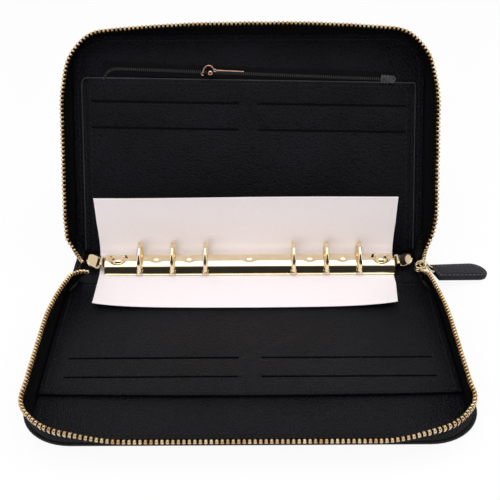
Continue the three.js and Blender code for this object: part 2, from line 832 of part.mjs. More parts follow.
// Sheet clamped under the plate: forward over the front cover, up behind the rings
function looseSheet() {
  const middle = sheetBase + sheetThickness / 2;
  const frontY = -spineWidth / 2 - sheetFront;
  const points = [
    [frontY, middle + 1.4], [frontY * 0.8, middle + 1.2], [frontY * 0.55, middle + 0.6],
    [-plateWidth / 2 - 3, middle], [0, middle], [plateWidth / 2, middle],
    [sheetBack - 2.6, middle + 0.1], [sheetBack - 0.6, middle + 1.7], [sheetBack, middle + 5],
    [sheetBack, middle + 9], [sheetBack - 0.9, middle + 15], [sheetBack - 3.4, middle + 24],
    [sheetBack - 7.6, middle + 36], [sheetBack - 11.6, middle + sheetRise],
  ];
  const curve = new THREE.CatmullRomCurve3(points.map(([y, z]) => new THREE.Vector3(0, y, z)));
  const stations = [];
  const count = 44;
  for (let i = 0; i <= count; i += 1) {
    const p = curve.getPoint(i / count);
    const t = curve.getTangent(i / count);
    const half = sheetThickness / 2;
    const reach = sheetLength / 2;
    stations.push([
      [-reach, p.y + t.z * half, p.z - t.y * half],
      [reach, p.y + t.z * half, p.z - t.y * half],
      [reach, p.y - t.z * half, p.z + t.y * half],
      [-reach, p.y - t.z * half, p.z + t.y * half],
    ]);
  }
  let body = solid(strip(stations));
  for (const side of [-1, 1]) {
    body = body.subtract(solid(disc(
      side * rivetReach, 0, sheetBase - 1, sheetBase + 2, shankRadius + running)));
  }
  return fromSolid(body);
}

// Main slider: a waisted body with a low bridge that holds the link
const sliderBase = innerFace + layerGap + endTapeHeight + layerGap;
const sliderTop = sliderBase + sliderHeight;
const linkAxis = sliderTop + linkWire + 0.35;
const sliderY = -sliderSet;
const linkX = sliderReach + sliderLength / 2 - 1.7;

function mainSlider() {
  const half = sliderLength / 2;
  const wide = sliderWidth / 2;
  const plan = new THREE.Shape();
  plan.moveTo(-half, -wide * 0.55);
  plan.lineTo(-half * 0.3, -wide);
  plan.lineTo(half * 0.7, -wide * 0.95);
  plan.quadraticCurveTo(half, -wide * 0.9, half, -wide * 0.5);
  plan.lineTo(half, wide * 0.5);
  plan.quadraticCurveTo(half, wide * 0.9, half * 0.7, wide * 0.95);
  plan.lineTo(-half * 0.3, wide);
  plan.lineTo(-half, wide * 0.55);
  plan.closePath();
  const body = layer(plan, sliderBase, sliderHeight);
  body.translate(sliderReach, sliderY, 0);
  const eye = linkWire + 0.33;
  const bridge = arch(
    sliderReach - half + 0.8, linkX + eye + 0.9, sliderTop - 0.5, sliderTop + bridgeHeight,
    linkX, linkAxis, eye, bridgeWidth);
  bridge.translate(0, sliderY, 0);
  return fromSolid(solid(body).add(solid(bridge)));
}

// Link: a bent wire loop through the bridge and the hole of the pull
const pullAngle = THREE.MathUtils.degToRad(pullTurn);
const pullSlope = Math.asin((pullLift - pullFloor) / pullLength);
const linkEnd = linkX + linkLength;
const pullStart = linkEnd - pullLap;
const linkLow = pullLift + pullThickness / 2 - 0.2;

function pullLink() {
  const y0 = sliderY - linkWidth / 2;
  const y1 = sliderY + linkWidth / 2;
  const over = linkEnd - 2.2;
  const high = linkAxis + 0.1;
  const path = [
    [linkX, y0, linkAxis], [over, y0, high], [linkEnd, y0, linkLow],
    [linkEnd, y1, linkLow], [over, y1, high], [linkX, y1, linkAxis],
  ];
  let body = null;
  for (let i = 0; i < path.length; i += 1) {
    const next = path[(i + 1) % path.length];
    const bar = solid(rod(path[i], next, linkWire));
    body = body ? body.add(bar) : bar;
    const knuckle = new THREE.SphereGeometry(linkWire * 1.02, 8, 4);
    knuckle.translate(...path[i]);
    body = body.add(solid(knuckle));
  }
  return fromSolid(body);
}

// Leather pull: round far end on the table, square near end with a hole for the link
function leatherPull() {
  const half = pullWidth / 2;
  const shape = new THREE.Shape();
  shape.moveTo(0, -half);
  shape.lineTo(pullLength - half, -half);
  shape.absarc(pullLength - half, 0, half, -Math.PI / 2, Math.PI / 2, false);
  shape.lineTo(0, half);
  shape.closePath();
  const hole = new THREE.Path();
  const slack = linkWire + 0.5;
  const bar = (linkEnd - pullStart) / Math.cos(pullAngle);
  const spread = linkWidth / 2 + slack + 1.3;
  hole.moveTo(bar - slack - 1.1, -spread);
  hole.lineTo(bar - slack - 1.1, spread);
  hole.lineTo(bar + slack + 1.1, spread);
  hole.lineTo(bar + slack + 1.1, -spread);
  hole.closePath();
  shape.holes.push(hole);
  const geometry = layer(shape, 0, pullThickness, 8);
  const pull = named('leather_pull', geometry, 'leather');
  const lean = new THREE.Group();
  pull.rotation.y = pullSlope;
  lean.add(pull);
  lean.rotation.z = pullAngle;
  lean.position.set(pullStart, sliderY - pullShift, pullLift);
  return lean;
}

function endTape(side) {
  const x0 = side * endTapeReach;
  const x1 = side * (endTapeReach + tapeThickness);
  return block(
    Math.min(x0, x1), Math.max(x0, x1), -endTapeLength / 2, endTapeLength / 2,
    innerFace + layerGap, innerFace + layerGap + endTapeHeight);
}

function spine() {
  const group = new THREE.Group();
  group.add(named('spine_shell', spineShell(), 'leather'));
  const holes = [-rivetReach, rivetReach].map((x) => roundHole(x, 0, shankRadius + running));
  const board = spineOutline(spineReach - sideMargin - boardInset, skin + layerGap + foldGap / 2);
  board.holes.push(...holes);
  const spineBoardTop = spineLiningBase - layerGap;
  const boardHeight = Math.min(spineBoardThickness, spineBoardTop - boardBase);
  group.add(named('spine_board', layer(board, spineBoardTop - boardHeight, boardHeight), 'board'));
  const lining = spineOutline(spineReach - sideMargin, foldGap / 2);
  lining.holes.push(...holes);
  group.add(named('spine_lining', layer(lining, spineLiningBase, liningThickness), 'lining'));
  group.add(named('ring_plate', ringPlate(), 'gold'));
  group.add(named('front_blade', blade(-1), 'gold'));
  group.add(named('rear_blade', blade(1), 'gold'));
  ringPlaces.forEach((x, i) => {
    for (const [where, side] of [['front', -1], ['rear', 1]]) {
      const ring = named(`${where}_half_ring_${i + 1}`, halfRing(side), 'gold');
      ring.position.x = x;
      group.add(ring);
    }
  });
  for (const [where, sign] of [['left', -1], ['right', 1]]) {
    const cap = named(`${where}_rivet`, rivet(), 'gold');
    cap.position.x = sign * rivetReach;
    group.add(cap);
    group.add(named(`${where}_lever`, lever(sign), 'gold'));
    group.add(named(`${where}_end_tape`, endTape(sign), 'cloth'));
  }
  group.add(named('loose_sheet', looseSheet(), 'paper'));
  group.add(named('main_slider', mainSlider(), 'gold'));
  group.add(named('pull_link', pullLink(), 'gold'));
  group.add(leatherPull());
  return group;
}

const wallet = new THREE.Group();
wallet.add(spine());
wallet.add(frontCover());
wallet.add(rearCover());

export default wallet;
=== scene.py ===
import math

import bmesh
import bpy
from mathutils import Euler, Matrix, Vector


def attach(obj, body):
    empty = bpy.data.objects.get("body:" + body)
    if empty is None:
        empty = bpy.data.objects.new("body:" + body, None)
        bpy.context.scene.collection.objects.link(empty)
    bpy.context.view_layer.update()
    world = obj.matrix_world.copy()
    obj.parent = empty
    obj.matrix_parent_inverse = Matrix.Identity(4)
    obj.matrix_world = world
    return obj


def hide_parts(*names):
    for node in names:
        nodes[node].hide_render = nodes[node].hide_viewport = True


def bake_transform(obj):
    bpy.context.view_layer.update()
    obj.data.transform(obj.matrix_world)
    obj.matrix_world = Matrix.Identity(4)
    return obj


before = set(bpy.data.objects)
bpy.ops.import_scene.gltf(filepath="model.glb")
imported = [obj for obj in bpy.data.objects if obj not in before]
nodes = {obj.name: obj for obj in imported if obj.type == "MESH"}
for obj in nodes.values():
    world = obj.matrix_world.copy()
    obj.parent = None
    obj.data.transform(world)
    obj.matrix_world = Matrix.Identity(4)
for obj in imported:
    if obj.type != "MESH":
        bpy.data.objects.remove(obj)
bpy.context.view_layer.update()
print("frame loaded")

mm = 0.001

# Camera first: the photograph's angle
camera = {"place": (0.0003, -0.4860, 0.3117), "lookDown": 31.17, "lens": 70.58, "roll": -0.3}


def setCamera(user):
    data = bpy.data.cameras.new("camera")
    data.lens = user["lens"]
    data.sensor_width = 36
    data.clip_start = 0.01
    view = bpy.data.objects.new("camera", data)
    tilt = Euler((math.radians(90 - user["lookDown"]), 0, 0)).to_matrix()
    roll = Matrix.Rotation(math.radians(user["roll"]), 3, "Z")
    view.matrix_world = Matrix.Translation(user["place"]) @ (tilt @ roll).to_4x4()
    bpy.context.scene.collection.objects.link(view)
    bpy.context.scene.camera = view


setCamera(camera)

# Where the covers stand, in millimetres
body = {
    "foldY": 16.5,
    "hingeHeight": 5.9,
    "rearLean": math.radians(66),
    "panelHalf": 103.3,
    "panelDepth": 128.4,
    "panelCorner": 20,
    "spineReach": 103.9,
    "foldTaper": 5,
    "foldTaperDepth": 12,
}


def onFront(x, v, n):
    return Vector((x, -body["foldY"] - v, n))


def onRear(x, v, n):
    c, s = math.cos(body["rearLean"]), math.sin(body["rearLean"])
    up = n - body["hingeHeight"]
    return Vector((x, body["foldY"] + v * c - up * s, body["hingeHeight"] + v * s + up * c))


def frontTurn(vector):
    return Vector((vector[0], -vector[1], vector[2]))


def rearTurn(vector):
    c, s = math.cos(body["rearLean"]), math.sin(body["rearLean"])
    return Vector((vector[0], vector[1] * c - vector[2] * s, vector[1] * s + vector[2] * c))


rearUp = rearTurn((0, 0, 1))


# Small tools for meshes
def newPiece(name, vertices, faces, recalculate=True):
    mesh = bpy.data.meshes.new(name)
    mesh.from_pydata([tuple(c * mm for c in v) for v in vertices], [], faces)
    piece = bpy.data.objects.new(name, mesh)
    bpy.context.scene.collection.objects.link(piece)
    if recalculate:
        work = bmesh.new()
        work.from_mesh(mesh)
        bmesh.ops.recalc_face_normals(work, faces=work.faces)
        work.to_mesh(mesh)
        work.free()
    return piece


def settle(piece):
    # modifiers become plain mesh
    graph = bpy.context.evaluated_depsgraph_get()
    mesh = bpy.data.meshes.new_from_object(piece.evaluated_get(graph))
    piece.modifiers.clear()
    piece.data = mesh
    return piece


def smooth(piece, angle=40):
    for polygon in piece.data.polygons:
        polygon.use_smooth = True
    piece.data.set_sharp_from_angle(angle=math.radians(angle))
    return piece


def bevelled(piece, width, steps=2, angle=32):
    bevel = piece.modifiers.new("edge", "BEVEL")
    bevel.width = width * mm
    bevel.segments = steps
    bevel.limit_method = "ANGLE"
    bevel.angle_limit = math.radians(angle)
    bevel.use_clamp_overlap = True
    return settle(piece)


def dressed(piece, material):
    piece.data.materials.clear()
    piece.data.materials.append(material)
    return piece


def copyOfNode(node, name, bevel):
    # the node's own form as a joined mesh with turned edges
    work = bmesh.new()
    work.from_mesh(nodes[node].data)
    bmesh.ops.remove_doubles(work, verts=work.verts, dist=0.00001)
    bmesh.ops.dissolve_limit(work, angle_limit=0.01, verts=work.verts, edges=work.edges)
    mesh = bpy.data.meshes.new(name)
    work.to_mesh(mesh)
    work.free()
    if "custom_normal" in mesh.attributes:
        mesh.attributes.remove(mesh.attributes["custom_normal"])
    piece = bpy.data.objects.new(name, mesh)
    bpy.context.scene.collection.objects.link(piece)
    return smooth(bevelled(piece, bevel) if bevel else piece)


def cutAway(piece, point, normal):
    # removes what lies on the normal's side of the plane
    work = bmesh.new()
    work.from_mesh(piece.data)
    geometry = work.verts[:] + work.edges[:] + work.faces[:]
    cut = bmesh.ops.bisect_plane(
        work, geom=geometry, plane_co=Vector(point) * mm, plane_no=normal, clear_outer=True)
    edges = [e for e in cut["geom_cut"] if isinstance(e, bmesh.types.BMEdge)]
    bmesh.ops.edgeloop_fill(work, edges=edges)
    bmesh.ops.recalc_face_normals(work, faces=work.faces)
    work.to_mesh(piece.data)
    work.free()
    return piece


def swept(name, sections, closeEnds=True):
    # skin over equal rings of points, one ring for each station
    vertices = [p for ring in sections for p in ring]
    count = len(sections[0])
    faces = []
    for i in range(len(sections) - 1):
        for k in range(count):
            a, b = i * count + k, i * count + (k + 1) % count
            faces.append((a, b, b + count, a + count))
    if closeEnds:
        last = (len(sections) - 1) * count
        faces.append(tuple(reversed(range(count))))
        faces.append(tuple(last + k for k in range(count)))
    return newPiece(name, vertices, faces)


def gridFaces(rows, columns):
    # faces of an open sheet of points, row by row
    return [(a, a + 1, a + columns + 1, a + columns)
            for a in [i * columns + k for i in range(rows - 1) for k in range(columns - 1)]]


def thickened(piece, thickness, offset=0):
    wall = piece.modifiers.new("sheet", "SOLIDIFY")
    wall.thickness = thickness * mm
    wall.offset = offset
    return settle(piece)


def joined(name, pieces):
    # several meshes as one object
    work = bmesh.new()
    for piece in pieces:
        work.from_mesh(piece.data)
        bpy.data.objects.remove(piece)
    mesh = bpy.data.meshes.new(name)
    work.to_mesh(mesh)
    work.free()
    whole = bpy.data.objects.new(name, mesh)
    bpy.context.scene.collection.objects.link(whole)
    return whole


def tube(name, points, radius, around=10, closed=False, upright=(0, 0, 1)):
    # round wire along a line; its radius may be a function of the way along, 0 to 1
    points = [Vector(p) for p in points]
    upright = Vector(upright)
    count = len(points)
    sections = []
    for i, point in enumerate(points):
        before = points[i - 1] if closed or i else point
        after = points[(i + 1) % count] if closed or i < count - 1 else point
        ahead = (after - before).normalized()
        side = ahead.cross(upright).normalized()
        lift = side.cross(ahead).normalized()
        r = radius(i / max(1, count - 1)) if callable(radius) else radius
        sections.append([point + side * r * math.cos(a) + lift * r * math.sin(a)
                         for a in [math.tau * k / around for k in range(around)]])
    if not closed:
        return smooth(swept(name, sections), 50)
    piece = swept(name, sections + sections[:1], closeEnds=False)
    work = bmesh.new()
    work.from_mesh(piece.data)
    bmesh.ops.remove_doubles(work, verts=work.verts, dist=1e-6)
    bmesh.ops.recalc_face_normals(work, faces=work.faces)
    work.to_mesh(piece.data)
    work.free()
    return smooth(piece, 60)


def roundedOutline(corners, radius, inset=0.0, steps=5):
    # convex outline, counter-clockwise, drawn in by inset and rounded at its corners
    count = len(corners)
    points = []
    for i in range(count):
        before, here, after = (Vector(corners[(i + k) % count]) for k in (-1, 0, 1))
        into, out = (here - before).normalized(), (after - here).normalized()
        half = math.acos(max(-1.0, min(1.0, into.dot(out)))) / 2
        r = max(0.05, radius - inset)
        centre = here + (out - into).normalized() * ((inset + r) / math.cos(half))
        first = math.atan2(-into.x, into.y)
        for k in range(steps + 1):
            a = first + 2 * half * k / steps
            points.append((centre.x + r * math.cos(a), centre.y + r * math.sin(a)))
    return points


def pressed(name, corners, radius, levels, place):
    # plate or pad with turned edges: levels are (inset, height) pairs
    rows = [[place(x, y, z) for x, y in roundedOutline(corners, radius, inset)]
            for inset, z in levels]
    return smooth(swept(name, rows), 60)


# Shader tools
def addNode(tree, kind, place, **settings):
    node = tree.nodes.new(kind)
    node.location = place
    for name, value in settings.items():
        setattr(node, name, value)
    return node


def setInputs(node, **values):
    for name, value in values.items():
        node.inputs[name.replace("_", " ")].default_value = value
    return node


def mathNode(tree, operation, place, a, b=None):
    node = addNode(tree, "ShaderNodeMath", place, operation=operation)
    for index, value in enumerate((a, b)):
        if value is None:
            continue
        if isinstance(value, (int, float)):
            node.inputs[index].default_value = value
        else:
            tree.links.new(value, node.inputs[index])
    return node.outputs[0]


def newGroup(name, inputs, outputs):
    group = bpy.data.node_groups.new(name, "ShaderNodeTree")
    for label, kind, value in inputs:
        socket = group.interface.new_socket(name=label, in_out="INPUT", socket_type=kind)
        if value is not None:
            socket.default_value = value
    for label, kind in outputs:
        group.interface.new_socket(name=label, in_out="OUTPUT", socket_type=kind)
    start = addNode(group, "NodeGroupInput", (-900, 0))
    end = addNode(group, "NodeGroupOutput", (700, 0))
    return group, start, end


def grainGroup():
    # pebbled grain: rounded cells with creases between them, and a mask of painted shade for the creases
    group, start, end = newGroup(
        "leatherGrain",
        [("Vector", "NodeSocketVector", None), ("Cells", "NodeSocketFloat", 1000.0),
         ("Crease", "NodeSocketFloat", 0.5)],
        [("Height", "NodeSocketFloat"), ("GrooveShadow", "NodeSocketFloat"),
         ("Blotch", "NodeSocketFloat")])
    link = group.links.new
    warp = setInputs(addNode(group, "ShaderNodeTexNoise", (-700, 200)), Scale=420.0, Detail=2.0)
    link(start.outputs["Vector"], warp.inputs["Vector"])
    shift = addNode(group, "ShaderNodeVectorMath", (-520, 200), operation="SCALE")
    shift.inputs["Scale"].default_value = 0.0005
    link(warp.outputs["Color"], shift.inputs[0])
    bent = addNode(group, "ShaderNodeVectorMath", (-340, 120), operation="ADD")
    link(start.outputs["Vector"], bent.inputs[0])
    link(shift.outputs[0], bent.inputs[1])
    cells = addNode(group, "ShaderNodeTexVoronoi", (-160, 120), feature="SMOOTH_F1")
    setInputs(cells, Smoothness=0.22, Randomness=0.95)
    link(bent.outputs[0], cells.inputs["Vector"])
    link(start.outputs["Cells"], cells.inputs["Scale"])
    fine = setInputs(addNode(group, "ShaderNodeTexNoise", (-160, -160)), Scale=3200.0, Detail=3.0)
    link(start.outputs["Vector"], fine.inputs["Vector"])
    dome = mathNode(group, "SUBTRACT", (60, 120), 1.0, cells.outputs["Distance"])
    fineSmall = mathNode(group, "MULTIPLY", (60, -120), fine.outputs["Fac"], 0.16)
    height = mathNode(group, "ADD", (240, 60), dome, fineSmall)
    # painted shade: a mask for darkening the colour in the creases between cells
    grooveShadowMask = addNode(group, "ShaderNodeMapRange", (240, 300))
    setInputs(grooveShadowMask, From_Min=0.35, From_Max=0.8)
    link(cells.outputs["Distance"], grooveShadowMask.inputs["Value"])
    deep = mathNode(group, "MULTIPLY", (440, 300), grooveShadowMask.outputs[0], start.outputs["Crease"])
    blotch = setInputs(addNode(group, "ShaderNodeTexNoise", (240, -300)), Scale=26.0, Detail=4.0)
    link(start.outputs["Vector"], blotch.inputs["Vector"])
    link(height, end.inputs["Height"])
    link(deep, end.inputs["GrooveShadow"])
    link(blotch.outputs["Fac"], end.inputs["Blotch"])
    return group


def weaveGroup():
    # herringbone tape: u runs along it, v across, both in metres; its colour output paints shade in the
    # grooves and highlight on the ridges
    group, start, end = newGroup(
        "tapeWeave",
        [("Vector", "NodeSocketVector", None), ("Rib", "NodeSocketFloat", 0.0022),
         ("Thread", "NodeSocketFloat", 0.0006)],
        [("Height", "NodeSocketFloat"), ("PaintedWeaveLight", "NodeSocketFloat")])
    link = group.links.new
    parts = addNode(group, "ShaderNodeSeparateXYZ", (-700, 0))
    link(start.outputs["Vector"], parts.inputs[0])
    fold = mathNode(group, "PINGPONG", (-500, -60), parts.outputs["Y"], start.outputs["Rib"])
    along = mathNode(group, "ADD", (-320, 0), parts.outputs["X"], fold)
    turns = mathNode(group, "DIVIDE", (-140, 0), along, start.outputs["Thread"])
    angle = mathNode(group, "MULTIPLY", (20, 0), turns, 6.2832)
    wave = mathNode(group, "SINE", (160, 0), angle)
    ribs = mathNode(group, "DIVIDE", (-320, -220), fold, start.outputs["Rib"])
    ridge = mathNode(group, "MULTIPLY", (160, -220), ribs, 0.6)
    height = mathNode(group, "ADD", (320, -60), wave, ridge)
    # painted shade and highlight: darker where the weave is low, lighter where it is high
    shade = addNode(group, "ShaderNodeMapRange", (320, 180))
    setInputs(shade, From_Min=-1.0, From_Max=1.6)
    link(height, shade.inputs["Value"])
    link(height, end.inputs["Height"])
    link(shade.outputs[0], end.inputs["PaintedWeaveLight"])
    return group


def wearGroup():
    # faint scratches and hand marks for metal
    group, start, end = newGroup(
        "metalWear",
        [("Vector", "NodeSocketVector", None), ("Scratch", "NodeSocketFloat", 0.5)],
        [("Rough", "NodeSocketFloat"), ("Height", "NodeSocketFloat")])
    link = group.links.new
    stretch = addNode(group, "ShaderNodeMapping", (-700, 120))
    stretch.inputs["Scale"].default_value = (60, 900, 900)
    link(start.outputs["Vector"], stretch.inputs["Vector"])
    lines = setInputs(addNode(group, "ShaderNodeTexNoise", (-500, 120)), Scale=1.0, Detail=3.0)
    link(stretch.outputs[0], lines.inputs["Vector"])
    marks = setInputs(addNode(group, "ShaderNodeTexNoise", (-500, -160)), Scale=140.0, Detail=3.0)
    link(start.outputs["Vector"], marks.inputs["Vector"])
    rough = addNode(group, "ShaderNodeMapRange", (-200, -120))
    setInputs(rough, From_Min=0.35, From_Max=0.75)
    link(marks.outputs["Fac"], rough.inputs["Value"])
    scratch = mathNode(group, "MULTIPLY", (-200, 120), lines.outputs["Fac"], start.outputs["Scratch"])
    link(rough.outputs[0], end.inputs["Rough"])
    link(scratch, end.inputs["Height"])
    return group


grain = grainGroup()
weave = weaveGroup()
wear = wearGroup()


def newMaterial(name):
    material = bpy.data.materials.new(name)
    material.use_nodes = True
    tree = material.node_tree
    shader = tree.nodes["Principled BSDF"]
    shader.location = (400, 0)
    tree.nodes["Material Output"].location = (700, 0)
    return material, tree, shader


def useGroup(tree, group, place, vector, **values):
    node = addNode(tree, "ShaderNodeGroup", place)
    node.node_tree = group
    tree.links.new(vector, node.inputs["Vector"])
    setInputs(node, **values)
    return node


def objectPlace(tree):
    return addNode(tree, "ShaderNodeTexCoord", (-1100, 0)).outputs["Object"]


def uvPlace(tree):
    return addNode(tree, "ShaderNodeTexCoord", (-1100, 0)).outputs["UV"]


def bumped(tree, shader, height, strength, distance):
    bump = addNode(tree, "ShaderNodeBump", (160, -260))
    bump.inputs["Strength"].default_value = strength
    bump.inputs["Distance"].default_value = distance
    tree.links.new(height, bump.inputs["Height"])
    tree.links.new(bump.outputs[0], shader.inputs["Normal"])


def ramp(tree, place, value, dark, light, low=0.0, high=1.0):
    node = addNode(tree, "ShaderNodeValToRGB", place)
    node.color_ramp.elements[0].position = low
    node.color_ramp.elements[0].color = (*dark, 1)
    node.color_ramp.elements[1].position = high
    node.color_ramp.elements[1].color = (*light, 1)
    tree.links.new(value, node.inputs["Fac"])
    return node.outputs["Color"]


def roughRange(tree, place, value, low, high):
    node = addNode(tree, "ShaderNodeMapRange", place)
    setInputs(node, To_Min=low, To_Max=high)
    tree.links.new(value, node.inputs["Value"])
    return node.outputs[0]


def leatherMaterial(name, user):
    material, tree, shader = newMaterial(name)
    cells = useGroup(
        tree, grain, (-860, 0), objectPlace(tree), Cells=1.0 / (user["grain"] * mm), Crease=0.9)
    tint = ramp(tree, (-560, 240), cells.outputs["Blotch"], user["dark"], user["light"], 0.3, 0.7)
    # painted shade: the colour is darkened in the creases between the grain cells
    grooveShadowMix = addNode(tree, "ShaderNodeMix", (-160, 240), data_type="RGBA", blend_type="MULTIPLY")
    tree.links.new(cells.outputs["GrooveShadow"], grooveShadowMix.inputs["Factor"])
    tree.links.new(tint, grooveShadowMix.inputs["A"])
    grooveShadowMix.inputs["B"].default_value = (0.35, 0.35, 0.35, 1)
    tree.links.new(grooveShadowMix.outputs["Result"], shader.inputs["Base Color"])
    rough = roughRange(tree, (-160, 0), cells.outputs["Blotch"], user["rough"] - 0.06,
                       user["rough"] + 0.08)
    tree.links.new(rough, shader.inputs["Roughness"])
    shader.inputs["Specular IOR Level"].default_value = user["gloss"]
    bumped(tree, shader, cells.outputs["Height"], user["bump"], user["depth"] * mm)
    return material


def clothMaterial(name, dark, light, rib=2.2, thread=0.7):
    material, tree, shader = newMaterial(name)
    lines = useGroup(tree, weave, (-860, 0), uvPlace(tree), Rib=rib * mm, Thread=thread * mm)
    # painted shade and highlight from the weave's height
    colour = ramp(tree, (-400, 200), lines.outputs["PaintedWeaveLight"], dark, light)
    tree.links.new(colour, shader.inputs["Base Color"])
    shader.inputs["Roughness"].default_value = 0.8
    shader.inputs["Specular IOR Level"].default_value = 0.06
    bumped(tree, shader, lines.outputs["Height"], 0.5, 0.0002)
    return material


def metalMaterial(name, user):
    material, tree, shader = newMaterial(name)
    marks = useGroup(tree, wear, (-860, 0), objectPlace(tree), Scratch=user["scratch"])
    colour = ramp(tree, (-400, 240), marks.outputs["Rough"], user["deep"], user["bright"])
    tree.links.new(colour, shader.inputs["Base Color"])
    rough = roughRange(tree, (-400, -20), marks.outputs["Rough"], user["rough"], user["rough"] + 0.05)
    tree.links.new(rough, shader.inputs["Roughness"])
    shader.inputs["Metallic"].default_value = 1.0
    bumped(tree, shader, marks.outputs["Height"], 0.08, 0.00005)
    return material


def paperMaterial():
    material, tree, shader = newMaterial("sheetPaper")
    place = objectPlace(tree)
    fibres = setInputs(addNode(tree, "ShaderNodeTexNoise", (-760, 160)), Scale=900.0, Detail=5.0)
    tree.links.new(place, fibres.inputs["Vector"])
    colour = ramp(
        tree, (-400, 200), fibres.outputs["Fac"], (0.885, 0.82, 0.84), (0.915, 0.85, 0.87), 0.3, 0.7)
    tree.links.new(colour, shader.inputs["Base Color"])
    shader.inputs["Roughness"].default_value = 0.6
    shader.inputs["Specular IOR Level"].default_value = 0.3
    bumped(tree, shader, fibres.outputs["Fac"], 0.12, 0.0001)
    return material


def boardMaterial():
    material, tree, shader = newMaterial("greyBoard")
    fleck = setInputs(addNode(tree, "ShaderNodeTexNoise", (-760, 160)), Scale=1500.0, Detail=4.0)
    tree.links.new(objectPlace(tree), fleck.inputs["Vector"])
    colour = ramp(tree, (-400, 200), fleck.outputs["Fac"], (0.18, 0.16, 0.13), (0.3, 0.27, 0.23))
    tree.links.new(colour, shader.inputs["Base Color"])
    shader.inputs["Roughness"].default_value = 0.9
    bumped(tree, shader, fleck.outputs["Fac"], 0.3, 0.0002)
    return material


def threadMaterial(name, dark, light):
    material, tree, shader = newMaterial(name)
    twist = addNode(tree, "ShaderNodeTexWave", (-760, 160), bands_direction="DIAGONAL")
    setInputs(twist, Scale=900.0, Distortion=1.0)
    tree.links.new(objectPlace(tree), twist.inputs["Vector"])
    colour = ramp(tree, (-400, 200), twist.outputs["Fac"], dark, light)
    tree.links.new(colour, shader.inputs["Base Color"])
    shader.inputs["Roughness"].default_value = 0.7
    shader.inputs["Specular IOR Level"].default_value = 0.3
    bumped(tree, shader, twist.outputs["Fac"], 0.4, 0.0002)
    return material


leathers = {
    "outer": {"grain": 1.0, "dark": (0.0036, 0.0036, 0.0044), "light": (0.0066, 0.0065, 0.0082),
              "rough": 0.46, "gloss": 0.11, "bump": 0.9, "depth": 0.55},
    "inner": {"grain": 1.0, "dark": (0.0036, 0.0037, 0.0052), "light": (0.0068, 0.0069, 0.0098),
              "rough": 0.46, "gloss": 0.11, "bump": 0.9, "depth": 0.55},
    # edge piping: leather coloured lighter than the rest as a painted highlight
    "edge": {"grain": 0.6, "dark": (0.016, 0.016, 0.017), "light": (0.035, 0.035, 0.037),
             "rough": 0.36, "gloss": 0.4, "bump": 0.25, "depth": 0.5},
    "maroon": {"grain": 0.5, "dark": (0.012, 0.0058, 0.0058), "light": (0.026, 0.0125, 0.0125),
               "rough": 0.55, "gloss": 0.12, "bump": 0.3, "depth": 0.5},
    # end tab: lighter grey leather, a painted highlight on its ridges and loop
    "tab": {"grain": 0.7, "dark": (0.03, 0.03, 0.032), "light": (0.075, 0.075, 0.078),
            "rough": 0.3, "gloss": 0.5, "bump": 0.2, "depth": 0.5},
    "pull": {"grain": 0.9, "dark": (0.0085, 0.0085, 0.0108), "light": (0.0155, 0.015, 0.019),
             "rough": 0.48, "gloss": 0.14, "bump": 0.9, "depth": 0.5},
}
metals = {
    "gold": {"deep": (0.88, 0.74, 0.48), "bright": (0.94, 0.84, 0.62), "rough": 0.03, "scratch": 0.4},
    "brass": {"deep": (0.50, 0.30, 0.13), "bright": (0.86, 0.70, 0.44), "rough": 0.10, "scratch": 0.6},
    "rose": {"deep": (0.62, 0.34, 0.26), "bright": (0.80, 0.52, 0.42), "rough": 0.12, "scratch": 0.4},
}
outerLeather = leatherMaterial("outerLeather", leathers["outer"])
innerLeather = leatherMaterial("innerLeather", leathers["inner"])
# the edge piping's lighter colour is a painted highlight
edgeHighlight = leatherMaterial("edgeHighlight", leathers["edge"])
endLeather = leatherMaterial("endLeather", leathers["maroon"])
tabHighlightLeather = leatherMaterial("tabHighlightLeather", leathers["tab"])
pullLeather = leatherMaterial("pullLeather", leathers["pull"])
tapeCloth = clothMaterial("tapeCloth", (0.0018, 0.0018, 0.002), (0.0062, 0.006, 0.0062))
pocketCloth = clothMaterial("pocketCloth", (0.0025, 0.0025, 0.003), (0.007, 0.007, 0.008), 1.0, 0.4)
mirrorGold = metalMaterial("mirrorGold", metals["gold"])
toothBrass = metalMaterial("toothBrass", metals["brass"])
roseGold = metalMaterial("roseGold", metals["rose"])
sheetPaper = paperMaterial()
greyBoard = boardMaterial()
blackThread = threadMaterial("blackThread", (0.003, 0.003, 0.0035), (0.011, 0.011, 0.0125))
greyThread = threadMaterial("greyThread", (0.02, 0.02, 0.022), (0.15, 0.15, 0.155))
coilNylon = threadMaterial("coilNylon", (0.01, 0.01, 0.0105), (0.06, 0.06, 0.061))
print("materials ready")


